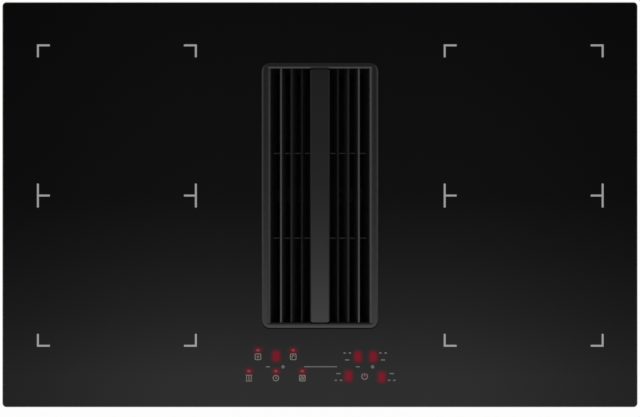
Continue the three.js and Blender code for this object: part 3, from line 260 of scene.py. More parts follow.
class Graph:
    """A node tree in the making. Each node is made, set and wired in one call."""

    def __init__(self, tree):
        self.nodes = tree.nodes
        self.links = tree.links

    def node(self, kind, inputs=None, **values):
        """Sets a new node's values, and then sets or links its inputs by name or number."""
        made = self.nodes.new(kind)
        for key, value in values.items():
            setattr(made, key, value)
        for key, value in (inputs or {}).items():
            self.feed(made.inputs[key], value)
        return made

    def feed(self, socket, value):
        """Links an output to a socket, or sets the socket's own value."""
        if isinstance(value, bpy.types.NodeSocket):
            self.links.new(value, socket)
        else:
            socket.default_value = value

    def axis(self, vector, name):
        return self.node("ShaderNodeSeparateXYZ", {"Vector": vector}).outputs[name]

    def operation(self, kind, first, second=0.0):
        inputs = {0: first, 1: second}
        return self.node("ShaderNodeMath", inputs, operation=kind).outputs["Value"]

    def span(self, source, low, high, start=0.0, end=1.0, **values):
        """Maps the range from start to end to the range from low to high."""
        inputs = {"Value": source, "From Min": start, "From Max": end, "To Min": low, "To Max": high}
        return self.node("ShaderNodeMapRange", inputs, **values).outputs["Result"]

    def mix(self, share, first, second, kind="RGBA", **values):
        inputs = {"Factor": share, "A": first, "B": second}
        return self.node("ShaderNodeMix", inputs, data_type=kind, **values).outputs["Result"]

    def mix_shaders(self, share, first, second):
        inputs = {0: share, 1: first, 2: second}
        return self.node("ShaderNodeMixShader", inputs).outputs["Shader"]


class Finish(Graph):
    """A node material in the making: a Principled shader and the textures that feed it."""

    def __init__(self, name, tone, roughness, metallic=0.0):
        self.material = bpy.data.materials.new(name)
        self.material.use_nodes = True
        self.material.diffuse_color = (*tone, 1.0)
        super().__init__(self.material.node_tree)
        self.shader = self.nodes["Principled BSDF"]
        self.tone = tone
        self.set("Base Color", (*tone, 1.0))
        self.set("Roughness", roughness)
        self.set("Metallic", metallic)
        coordinates = self.node("ShaderNodeTexCoord")
        self.place = coordinates.outputs["Object"]
        self.facing = coordinates.outputs["Normal"]

    def set(self, socket, value):
        self.feed(self.shader.inputs[socket], value)

    def texture(self, kind, scale, output, shape=None, **values):
        """A texture on the object's coordinates in metres, multiplied along each axis."""
        place = self.node("ShaderNodeMapping", {"Vector": self.place, "Scale": scale})
        inputs = {"Vector": place.outputs["Vector"], "Scale": 1.0, **(shape or {})}
        return self.node(f"ShaderNodeTex{kind}", inputs, **values).outputs[output]

    def noise(self, size, detail=3.0, stretch=(1, 1, 1)):
        """Noise whose features are about size metres across."""
        scale = tuple(part / size for part in stretch)
        return self.texture("Noise", scale, "Fac", {"Detail": detail})

    def cells(self, size, output):
        return self.texture("Voronoi", (1 / size,) * 3, output)

    def twist(self, size):
        """Slanting waves, as the strands of a twisted wire make."""
        scale, shape = (1 / size,) * 3, {"Distortion": 1.0}
        return self.texture("Wave", scale, "Fac", shape, bands_direction="DIAGONAL")

    def above(self, height):
        """1 where the surface is higher than height metres, else 0."""
        return self.operation("GREATER_THAN", self.axis(self.place, "Z"), height)

    def facing_up(self, low, high):
        """0 where the surface tilts more than low and 1 where it is flatter than high."""
        return self.span(self.axis(self.facing, "Z"), 0.0, 1.0, low, high)

    def blended(self, share, first, second):
        """Two colours, each a tone or a texture, mixed by a share."""
        tones = [(*tone, 1.0) if isinstance(tone, tuple) else tone for tone in (first, second)]
        return self.mix(share, *tones)

    def shade(self, source, dark, light):
        """Colours the base between two tones by a texture."""
        ramp = self.node("ShaderNodeValToRGB", {"Fac": source})
        for element, tone in zip(ramp.color_ramp.elements, (dark, light)):
            element.color = (*tone, 1.0)
        self.set("Base Color", ramp.outputs["Color"])

    def vary(self, source, depth):
        """Darkens and lightens the base by a share of itself."""
        self.shade(source, *spread(self.tone, depth))

    def rough(self, source, low, high):
        self.set("Roughness", self.span(source, low, high))

    def bump(self, source, height):
        """Raises the surface by up to height metres where the texture is light."""
        inputs = {"Height": source, "Strength": 1.0, "Distance": height}
        self.set("Normal", self.node("ShaderNodeBump", inputs).outputs["Normal"])


def spread(tone, depth):
    """A tone darkened and lightened by a share of itself."""
    return [tuple(min(1.0, part * level) for part in tone) for level in (1 - depth, 1 + depth)]


def black_glass(name, tint, ground):
    """Polished glass that is finely ground wherever the surface tilts, along its edge; the ground
    edge's lighter tone is partly a painted highlight.
    """
    polish = settings("glass").polish
    ground_roughness = 0.35
    made = Finish(name, tint, polish)
    made.set("IOR", GLASS_IOR)
    face = made.facing_up(0.9, 0.99)
    cloud = made.noise(60 * MM)
    face_tone = made.blended(cloud, *spread(tint, 0.12))
    edge_tone = made.blended(cloud, *spread(ground, 0.1))
    made.set("Base Color", made.blended(face, edge_tone, face_tone))
    gloss = made.span(made.noise(35 * MM, 5.0), polish * 0.7, polish * 1.4)
    made.set("Roughness", made.mix(face, ground_roughness, gloss, "FLOAT"))
    return made


def lit_window(name, tone, gloss):
    """Dark glass with light behind it, which mirrors less than the glass round it."""
    glass = settings("glass")
    made = Finish(name, tuple(glass.tint), glass.polish)
    made.set("IOR", GLASS_IOR)
    made.set("Specular IOR Level", gloss)
    made.vary(made.noise(3 * MM, 1.0), 0.2)
    made.set("Emission Color", (*tone, 1.0))
    made.set("Emission Strength", 1.0)
    return made


def halo_glass(name, share, gloss):
    return lit_window(name, [part * share for part in settings("print").halo], gloss)


def textured(name, tone, roughness, metallic, shade, gloss=(), grain=(), specular=0.5):
    """A finish of noise: shade is (size, depth), gloss (size, low, high), grain (size, height).

    Sizes and heights are in millimetres, and each may end with the noise's detail and stretch.
    """
    made = Finish(name, tone, roughness, metallic)
    made.set("Specular IOR Level", specular)
    size, depth, *more = shade
    made.vary(made.noise(size * MM, *more), depth)
    if gloss:
        size, low, high, *more = gloss
        made.rough(made.noise(size * MM, *more), low, high)
    if grain:
        size, height, *more = grain
        made.bump(made.noise(size * MM, *more), height * MM)
    return made


def fired_print(name, tone):
    return textured(name, tone, 0.5, 0.0, (0.5, 0.12, 2.0), (), (0.25, 0.01, 2.0))


def moulded(name, tone, roughness):
    gloss = (6, roughness * 0.88, roughness * 1.12, 4.0)
    return textured(name, tone, roughness, 0.0, (25, 0.1), gloss, (0.7, 0.02))


def satin_black_painted_light_and_shade(name, side, top, low, high, metallic, gloss=1.0):
    """Satin black with painted light and shade: upward faces get one tone and steeper faces another,
    blended between two tilts.
    """
    satin = settings("grille").satin * gloss
    made = Finish(name, side, satin, metallic)
    made.shade(made.facing_up(low, high), side, top)
    grain = made.noise(0.5 * MM, 4.0, (1.0, 0.04, 1.0))
    made.rough(grain, satin * 0.85, satin * 1.25)
    made.bump(grain, 0.004 * MM)
    return made


def galvanised_sheet(name, zinc):
    """Zinc with its pattern of crystals."""
    made = Finish(name, zinc, 0.4, 1.0)
    crystals = made.node("ShaderNodeRGBToBW", {"Color": made.cells(9 * MM, "Color")})
    made.vary(crystals.outputs["Val"], 0.09)
    made.rough(crystals.outputs["Val"], 0.35, 0.45)
    made.bump(made.noise(3 * MM, 4.0), 0.015 * MM)
    return made


def foam_rubber(name):
    made = textured(name, (0.022, 0.022, 0.023), 0.85, 0.0, (1.5, 0.3))
    made.bump(made.cells(0.7 * MM, "Distance"), 0.08 * MM)
    return made


def copper_litz(name):
    made = Finish(name, (0.42, 0.16, 0.07), 0.38, 0.9)
    strands = made.twist(0.8 * MM)
    made.vary(strands, 0.3)
    made.bump(strands, 0.08 * MM)
    return made


def circuit_board(name):
    """Green lacquer over copper tracks."""
    green = (0.012, 0.085, 0.035)
    made = Finish(name, green, 0.35)
    bricks = {"Color1": (*green, 1), "Color2": (0.016, 0.1, 0.045, 1)}
    gaps = {"Mortar": (0.03, 0.16, 0.08, 1), "Mortar Size": 0.06}
    made.tracks = made.texture("Brick", (1 / (9 * MM),) * 3, "Color", {**bricks, **gaps})
    made.bump(made.tracks.node.outputs["Fac"], 0.03 * MM)
    made.set("Base Color", made.tracks)
    return made


def board_assembly(name):
    """The board is green, what stands on it is black, and the capacitors' tops are bare."""
    made = circuit_board(name)
    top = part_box("power_board_left")[1].z - 0.4 * MM
    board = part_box("heat_sink_left")[0].z + 0.1 * MM
    sleeve = made.blended(made.noise(5 * MM), (0.01, 0.01, 0.012), (0.02, 0.02, 0.023))
    parts = made.blended(made.above(top), sleeve, (0.4, 0.4, 0.41))
    made.set("Base Color", made.blended(made.above(board), made.tracks, parts))
    return made


def coil_carrier(name):
    """An aluminium plate over dark ferrite bars."""
    made = Finish(name, (0.6, 0.61, 0.62), 0.42)
    plate = made.above(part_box("induction_coil_left_rear")[0].z - 2.7 * MM)
    bars = made.blended(made.noise(4 * MM), (0.016, 0.015, 0.015), (0.026, 0.025, 0.024))
    metal = made.blended(made.noise(12 * MM), (0.55, 0.56, 0.57), (0.65, 0.66, 0.67))
    made.set("Base Color", made.blended(plate, bars, metal))
    made.set("Metallic", plate)
    made.rough(made.noise(0.8 * MM, 4.0, ROLLED), 0.34, 0.52)
    return made


# How the grain of rolled and of drawn metal is stretched
ROLLED = (0.05, 1.0, 1.0)
DRAWN = (1.0, 1.0, 0.06)

# What makes each finish, and the maker's arguments in order: "group.name" is one of the settings
FINISHES = {
    "black_glass": (black_glass, "glass.tint", "glass.ground"),
    "zone_print": (fired_print, "print.mark_colour"),
    "symbol_print": (fired_print, "print.icon_colour"),
    "power_print": (fired_print, "print.power_colour"),
    "key_print": (fired_print, "print.key_colour"),
    "line_print": (fired_print, "print.line_colour"),
    "halo_near": (halo_glass, 1.0, 0.27),
    "halo_soft": (halo_glass, 0.6, 0.32),
    "halo_faint": (halo_glass, 0.34, 0.38),
    "halo_dim": (halo_glass, 0.16, 0.44),
    "indicator_core": (lit_window, "print.led_core", 0.22),
    "digit_light": (lit_window, "print.digit_colour", 0.22),
    "digit_window": (lit_window, "print.window_colour", 0.22),
    # Three copies of one louvre black, which differ only in the painted light or shade on their top
    # edges
    "louvre_inner": (satin_black_painted_light_and_shade, "grille.blade", "grille.inner_edge", 0.6, 0.8, 0.5),
    "louvre_middle": (satin_black_painted_light_and_shade, "grille.blade", "grille.middle_edge", 0.6, 0.8, 0.5),
    "louvre_outer": (satin_black_painted_light_and_shade, "grille.blade", "grille.outer_edge", 0.6, 0.8, 0.5),
    # The spine's chamfers carry painted shade
    "spine_aluminium": (satin_black_painted_light_and_shade, "grille.spine_side", "grille.spine_top", 0.8, 0.95, 0.95, 0.75),
    # The frame's steep faces carry painted light in the lighter skirt tone
    "frame_aluminium": (satin_black_painted_light_and_shade, "grille.skirt", "grille.metal", 0.32, 0.42, 0.93),
    "blackened_steel": (textured, (0.045, 0.045, 0.046), 0.36, 0.9, (3, 0.2), (1.2, 0.26, 0.42, 4.0)),
    # The net's tone is darkened well below bare steel, standing in for the deep shade inside the
    # grille: painted shade
    "coated_net": (textured, (0.045, 0.045, 0.047), 0.42, 0.6, (4, 0.25), (1.5, 0.35, 0.55)),
    "filter_black": (textured, (0.0055, 0.0055, 0.006), 0.68, 0.0, (20, 0.15), (), (0.6, 0.02), 0.1),
    # Near black and hardly glossy, so that the seal's showing edge reads as a painted shadow line
    "seal_black": (textured, (0.004, 0.004, 0.004), 0.95, 0.0, (2, 0.2), (), (0.5, 0.02), 0.05),
    "spring_steel": (textured, (0.33, 0.34, 0.35), 0.35, 1.0, (8, 0.15), (0.6, 0.26, 0.44, 4.0, DRAWN)),
    "zinc_screw": (textured, (0.55, 0.56, 0.55), 0.3, 1.0, (2, 0.15), (0.8, 0.22, 0.42)),
    "mica_sheet":
        (textured, (0.42, 0.35, 0.22), 0.5, 0.0, (5, 0.3, 5.0), (2, 0.35, 0.65), (0.8, 0.03, 4.0)),
    "raw_aluminium": (textured, (0.6, 0.61, 0.62), 0.4, 1.0, (12, 0.08), (0.8, 0.32, 0.5, 4.0, ROLLED)),
    "black_plastic": (moulded, "casing.black", 0.5),
    "grey_plastic": (moulded, "casing.grey", 0.52),
    "white_plastic": (moulded, (0.66, 0.66, 0.63), 0.45),
    "galvanised_sheet": (galvanised_sheet, "casing.zinc"),
    "foam_rubber": (foam_rubber,),
    "copper_litz": (copper_litz,),
    "circuit_board": (circuit_board,),
    "board_assembly": (board_assembly,),
    "coil_carrier": (coil_carrier,),
}
MATERIALS = {}


def material(name):
    """The finish of that name, made the first time that it is asked for."""
    if name not in MATERIALS:
        maker, *values = FINISHES[name]
        for i, value in enumerate(values):
            if isinstance(value, str):
                group, key = value.split(".")
                values[i] = tuple(getattr(settings(group), key))
        MATERIALS[name] = maker(name, *values).material
    return MATERIALS[name]


# ------------------------------------------------------------------ mesh building


def rounded_rect(half_x, half_y, radius, x=0.0, y=0.0, steps=CORNER_STEPS):
    """The corner points of a round-cornered rectangle, anticlockwise from the right."""
    points = []
    for quarter, (sx, sy) in enumerate(((1, 1), (-1, 1), (-1, -1), (1, -1))):
        corner_x = x + sx * (half_x - radius)
        corner_y = y + sy * (half_y - radius)
        for i in range(steps + 1):
            angle = math.pi / 2 * (quarter + i / steps)
            points.append((corner_x + radius * math.cos(angle), corner_y + radius * math.sin(angle)))
    return points


def square(half):
    return [(-half, -half), (half, -half), (half, half), (-half, half)]


def circle(radius, steps=ROUND_STEPS):
    turn = 2 * math.pi / steps
    return [(radius * math.cos(turn * i), radius * math.sin(turn * i)) for i in range(steps)]


def at(outline, z):
    return [(x, y, z) for x, y in outline]


def sheet(half, z):
    """A single level square."""
    bm = bmesh.new()
    bm.faces.new([bm.verts.new(point) for point in at(square(half), z)])
    return bm


def loft(bm, rings, wrap=False, caps=True):
    """Joins rings of equally many points with quads, and closes or wraps the ends."""
    rows = [[bm.verts.new(point) for point in ring] for ring in rings]
    count = len(rows[0])
    pairs = list(zip(rows, rows[1:]))
    if wrap:
        pairs.append((rows[-1], rows[0]))
    for low, high in pairs:
        for i in range(count):
            j = (i + 1) % count
            bm.faces.new((low[i], low[j], high[j], high[i]))
    if caps and not wrap:
        bm.faces.new(tuple(reversed(rows[0])))
        bm.faces.new(tuple(rows[-1]))


def tube(rings):
    """A closed band of rings, as a mesh in the making."""
    bm = bmesh.new()
    loft(bm, rings, wrap=True)
    return bm


def prism(bm, outline, z0, z1):
    loft(bm, [at(outline, z0), at(outline, z1)])


def plate(bm, half_x, half_y, corner, z0, z1, x=0.0, y=0.0, edge=0.0, steps=CORNER_STEPS):
    """A round-cornered plate whose top and bottom edges are eased."""
    rings = []
    for inset, z in ((edge, z0), (0.0, z0 + edge), (0.0, z1 - edge), (edge, z1)):
        size = (half_x - inset, half_y - inset, max(corner - inset, 0.0))
        rings.append(at(rounded_rect(*size, x, y, steps), z))
    if edge == 0.0:
        rings = rings[1:3]
    loft(bm, rings)


def eased(profile, width, steps=3):
    """A profile of (inset, height) points whose inner corners are rounded off."""
    points = [Vector(point) for point in profile]
    made = [profile[0]]
    for before, here, after in zip(points, points[1:], points[2:]):
        start = here + (before - here).normalized() * width
        end = here + (after - here).normalized() * width
        for i in range(steps + 1):
            share = i / steps
            made.append(tuple(start.lerp(here, share).lerp(here.lerp(end, share), share)))
    made.append(profile[-1])
    return made


def stroke(bm, points, width, z0, z1, ring=False):
    """A flat line of even width along points, with mitred corners."""
    count = len(points)
    sharpest = 0.3
    left, right = [], []
    for i, point in enumerate(points):
        here = Vector(point)
        before = Vector(points[i - 1]) if ring or i else None
        after = Vector(points[(i + 1) % count]) if ring or i < count - 1 else None
        along = [(b - a).normalized() for a, b in ((before, here), (here, after)) if a and b]
        normals = [Vector((-part.y, part.x)) for part in along]
        mitre = sum(normals, Vector((0, 0))).normalized()
        reach = width / 2 / max(sharpest, mitre.dot(normals[0]))
        left.append(tuple(here + mitre * reach))
        right.append(tuple(here - mitre * reach))
    if ring:
        loft(bm, [at(right, z0), at(right, z1), at(left, z1), at(left, z0)], wrap=True)
    else:
        prism(bm, right + left[::-1], z0, z1)


def bar(bm, x, y, width, depth, z0, z1):
    plate(bm, width / 2, depth / 2, min(width, depth) * 0.12, z0, z1, x, y, steps=2)


def screw(bm, place, facing, radius):
    """A domed screw head with a six-sided socket, seated at place and facing outwards."""
    turn = Vector(facing).to_track_quat("Z", "Y").to_matrix()
    rings = [at(circle(width * radius), height * radius) for width, height in SCREW_HEAD]
    sixth = math.pi / 3
    for height in SOCKET_HEIGHTS:
        ring = []
        for i in range(ROUND_STEPS):
            angle = 2 * math.pi * i / ROUND_STEPS
            flat = math.cos(sixth / 2) / math.cos(angle % sixth - sixth / 2)
            reach = SCREW_SOCKET * radius * flat
            ring.append((reach * math.cos(angle), reach * math.sin(angle), height * radius))
        rings.append(ring)
    loft(bm, [[turn @ Vector(point) + Vector(place) for point in ring] for ring in rings])


def spun(points, angle, x=0.0, y=0.0):
    """Points turned about the origin and moved to x, y."""
    c, s = math.cos(angle), math.sin(angle)
    return [(x + c * px - s * py, y + s * px + c * py) for px, py in points]


def placed(name, bm, look):
    """Turns a mesh in the making into an object of one material."""
    mesh = bpy.data.meshes.new(name)
    bm.to_mesh(mesh)
    bm.free()
    mesh.materials.append(look)
    obj = bpy.data.objects.new(name, mesh)
    bpy.context.scene.collection.objects.link(obj)
    return obj


def piece(name, bm, finish, body, replaces=(), smooth=SMOOTH_ANGLE):
    """Turns a mesh in the making into a piece that rides on a body."""
    bmesh.ops.remove_doubles(bm, verts=bm.verts, dist=SAME_POINT)
    bmesh.ops.recalc_face_normals(bm, faces=bm.faces)
    obj = placed(name, bm, material(finish))
    obj.data.polygons.foreach_set("use_smooth", [True] * len(obj.data.polygons))
    obj.data.set_sharp_from_angle(angle=smooth)
    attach(obj, body)
    if replaces:
        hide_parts(*replaces)
    return obj


def soften(obj, width):
    """Rounds the worked edges, so that they catch the light."""
    bevel = obj.modifiers.new("Worked edges", "BEVEL")
    bevel.width = width
    bevel.segments = 2
    bevel.limit_method = "ANGLE"
    bevel.angle_limit = SOFTENED_ANGLE
    bevel.harden_normals = True


def smoothing():
    """A node group that shades smooth across faces and leaves sharp edges sharp."""
    name = "Shade by edge angle"
    if name in bpy.data.node_groups:
        return bpy.data.node_groups[name]
    group = bpy.data.node_groups.new(name, "GeometryNodeTree")
    for way in ("INPUT", "OUTPUT"):
        group.interface.new_socket("Geometry", in_out=way, socket_type="NodeSocketGeometry")
    graph = Graph(group)
    source = graph.node("NodeGroupInput").outputs["Geometry"]
    faces = graph.node("GeometryNodeSetShadeSmooth", {"Geometry": source})
    angle = graph.node("GeometryNodeInputMeshEdgeAngle").outputs["Unsigned Angle"]
    limits = {"A": angle, "B": SMOOTH_ANGLE}
    sharp = graph.node("FunctionNodeCompare", limits, operation="GREATER_THAN")
    inputs = {"Geometry": faces.outputs["Geometry"], "Shade Smooth": False}
    inputs["Selection"] = sharp.outputs["Result"]
    edges = graph.node("GeometryNodeSetShadeSmooth", inputs, domain="EDGE")
    graph.node("NodeGroupOutput", {"Geometry": edges.outputs["Geometry"]})
    return group


def dress(node, finish, ease=0.0):
    """Gives a CAD node its finish, smooth rounds and softened edges."""
    obj = NODES[node]
    if not obj.material_slots:
        obj.data.materials.append(None)
    for slot in obj.material_slots:
        slot.link = "OBJECT"
        slot.material = material(finish)
    weld = obj.modifiers.new("Joined corners", "WELD")
    weld.merge_threshold = WELD_DISTANCE
    shading = obj.modifiers.new("Shading", "NODES")
    shading.node_group = smoothing()
    if ease:
        soften(obj, ease)


# ------------------------------------------------------------------ operators


class Builder:
    """What the building operators share."""

    bl_options = {"REGISTER", "UNDO"}


class COOKTOP_OT_stage(Builder, bpy.types.Operator):
    """Sets the camera above the cooktop, the pale floor, the lamps and the reflection card"""

    bl_idname = "cooktop.stage"
    bl_label = "Stage"

    def execute(self, context):
        scene = context.scene
        stage = scene.cooktop_stage
        scene.view_settings.view_transform = "Standard"
        self.camera(scene, stage)
        self.world(scene, stage)
        self.floor()
        self.card(stage)
        self.lamps(scene, stage)
        return {"FINISHED"}

    def camera(self, scene, stage):
        data = bpy.data.cameras.new("camera")
        data.sensor_width = 36
        data.lens = data.sensor_width * stage.distance / stage.view_width
        data.clip_end = 50
        scene.camera = bpy.data.objects.new("camera", data)
        scene.collection.objects.link(scene.camera)
        scene.camera.location = (stage.view_x, stage.view_y, GLASS_HIGH.z + stage.distance)

    def world(self, scene, stage):
        """White for what is seen and mirrored, and an even grey as light."""
        scene.world = bpy.data.worlds.new("studio")
        scene.world.use_nodes = True
        graph = Graph(scene.world.node_tree)
        path = graph.node("ShaderNodeLightPath").outputs
        seen = path["Is Camera Ray"]
        for ray in ("Is Glossy Ray", "Is Transmission Ray"):
            seen = graph.operation("MAXIMUM", seen, path[ray])
        background = graph.nodes["Background"].inputs
        graph.feed(background["Color"], (1, 1, 1, 1))
        graph.feed(background["Strength"], graph.span(seen, stage.sky, 1.0))

    def floor(self):
        """Pale from above, with the object's shadow, and clear from below."""
        look = bpy.data.materials.new("pale_floor")
        look.use_nodes = True
        graph = Graph(look.node_tree)
        shader = graph.nodes["Principled BSDF"]
        graph.feed(shader.inputs["Base Color"], (0.8, 0.8, 0.8, 1))
        graph.feed(shader.inputs["Roughness"], 0.9)
        white = graph.node("ShaderNodeEmission", {"Color": (1, 1, 1, 1)}).outputs["Emission"]
        seen = graph.node("ShaderNodeLightPath").outputs["Is Camera Ray"]
        share = graph.span(seen, 0.0, FLOOR_WHITE)
        front = graph.mix_shaders(share, shader.outputs["BSDF"], white)
        clear = graph.node("ShaderNodeBsdfTransparent").outputs["BSDF"]
        behind = graph.node("ShaderNodeNewGeometry").outputs["Backfacing"]
        sided = graph.mix_shaders(behind, front, clear)
        graph.feed(graph.nodes["Material Output"].inputs["Surface"], sided)
        placed("floor", sheet(FLOOR_HALF, CAD_BOX[0].z - 1 * MM), look)

    def card(self, stage):
        """A tent that only mirrors see: bright towards the cook, dark towards the wall."""
        reach, top = stage.card_reach, stage.card_height
        walls = bmesh.new()
        loft(walls, [at(square(reach), z) for z in (GLASS_HIGH.z + 4 * MM, top)], caps=False)
        for name, bm, look in (
            ("reflection_card", sheet(reach, top), self.ceiling_glow(stage)),
            ("reflection_walls", walls, self.wall_glow()),
        ):
            obj = placed(name, bm, look)
            for ray in ("camera", "diffuse", "transmission", "volume_scatter", "shadow"):
                setattr(obj, f"visible_{ray}", False)

    def glow(self, name):
        """A material that only glows, its nodes, its lamp's colour and the place in the stage."""
        look = bpy.data.materials.new(name)
        look.use_nodes = True
        graph = Graph(look.node_tree)
        graph.nodes.remove(graph.nodes["Principled BSDF"])
        light = graph.node("ShaderNodeEmission")
        graph.feed(graph.nodes["Material Output"].inputs["Surface"], light.outputs["Emission"])
        place = graph.node("ShaderNodeTexCoord").outputs["Object"]
        return look, graph, light.inputs["Color"], place

    def greys(self, graph, source, reach, stops):
        """Greys along stops, from reach at 0 to -reach at 1."""
        share = graph.span(source, 0.0, 1.0, reach, -reach)
        ramp = graph.node("ShaderNodeValToRGB", {"Fac": share})
        elements = ramp.color_ramp.elements
        while len(elements) < len(stops):
            elements.new(0.5)
        for element, (position, level) in zip(elements, stops):
            element.position = position
            element.color = (level, level, level, 1)
        return ramp.outputs["Color"]

    def ceiling_glow(self, stage):
        look, graph, colour_in, place = self.glow("ceiling_glow")
        depth = self.greys(graph, graph.axis(place, "Y"), CEILING_REACH, CEILING_STOPS)
        across = graph.operation("ABSOLUTE", graph.axis(place, "X"))
        soft = {"interpolation_type": "SMOOTHSTEP"}
        fade = graph.span(across, 1.0, FADE_LEVEL, FADE_START, FADE_END, **soft)
        faded = graph.mix(1.0, depth, fade, blend_type="MULTIPLY")
        outside = graph.span(across, 0.0, 1.0, CEILING_END, SIDES_START, **soft)
        graph.feed(colour_in, graph.mix(outside, faded, (*(stage.side_glow,) * 3, 1)))
        return look

    def wall_glow(self):
        look, graph, colour_in, place = self.glow("wall_glow")
        graph.feed(colour_in, self.greys(graph, graph.axis(place, "Y"), WALL_REACH, WALL_STOPS))
        return look

    def lamps(self, scene, stage):
        for name, place, size, power in LAMPS:
            data = bpy.data.lights.new(name, "AREA")
            data.shape = "SQUARE"
            data.size = size
            data.energy = getattr(stage, power)
            obj = bpy.data.objects.new(name, data)
            scene.collection.objects.link(obj)
            obj.location = place
            obj.rotation_euler = (-Vector(place)).to_track_quat("-Z", "Y").to_euler()


class COOKTOP_OT_glass(Builder, bpy.types.Operator):
    """Makes the glass plate with its ground edge and the opening for the extractor"""

    bl_idname = "cooktop.glass"
    bl_label = "Glass plate"

    def execute(self, context):
        glass = context.scene.cooktop_glass
        lap = 3 * MM
        mouth_x, mouth_y = GRILLE_HIGH.x - lap, GRILLE_HALF_Y - lap
        low, high, edge = GLASS_LOW.z, GLASS_HIGH.z, glass.edge
        support = edge + 0.4 * MM
        quarter = self.quarter(5)
        profile = [(support, low)]
        profile += [(edge * inset, low + edge * rise) for inset, rise in quarter]
        profile += [(edge * inset, high - edge * rise) for inset, rise in reversed(quarter)]
        profile += [(support, high)]
        rings = []
        for inset, z in profile:
            size = (GLASS_HIGH.x - inset, GLASS_HIGH.y - inset, glass.corner - inset)
            rings.append(at(rounded_rect(*size), z))
        for inset, z in reversed(profile):
            size = (mouth_x + inset, mouth_y + inset, glass.mouth_corner + inset)
            rings.append(at(rounded_rect(*size, 0, GRILLE_Y), z))
        piece("glass_plate", tube(rings), "black_glass", "hob", ["glass_top"])
        dress("sealing_gasket", "foam_rubber")
        return {"FINISHED"}

    def quarter(self, steps):
        """Inset and height along a quarter round, from the face to the side."""
        angles = [math.pi / 2 * i / steps for i in range(steps + 1)]
        return [(1 - math.sin(angle), 1 - math.cos(angle)) for angle in angles]


class COOKTOP_OT_zone_marks(Builder, bpy.types.Operator):
    """Prints the corner and middle marks of the two pairs of cooking zones"""

    bl_idname = "cooktop.zone_marks"
    bl_label = "Zone marks"

    def execute(self, context):
        ink = context.scene.cooktop_print
        z0 = GLASS_HIGH.z - PRINT_ROOT
        z1 = GLASS_HIGH.z + ink.thickness
        for name, side in SIDES:
            bm = bmesh.new()
            for distance, inward in ((ink.zone_x_outer, -side), (ink.zone_x_inner, side)):
                x = ink.zone_x + side * distance
                for way in (1, -1):
                    corner = Vector((x, ink.zone_y + way * ink.zone_reach))
                    across = corner + Vector((inward * ink.mark_arm, 0))
                    down = corner - Vector((0, way * ink.mark_arm))
                    stroke(bm, [across, corner, down], ink.mark_stroke, z0, z1)
                self.middle(bm, ink, x, inward, z0, z1)
            piece(f"zone_marks_{name}", bm, "zone_print", "hob")
        return {"FINISHED"}

    def middle(self, bm, ink, x, way, z0, z1):
        """The sideways T between two zones."""
        half, reach = ink.mark_stroke / 2, ink.mark_arm
        corners = [
            (-half, -reach), (half, -reach), (half, -half), (reach, -half),
            (reach, half), (half, half), (half, reach), (-half, reach),
        ]
        prism(bm, [(x + way * px, ink.zone_y + py) for px, py in corners], z0, z1)


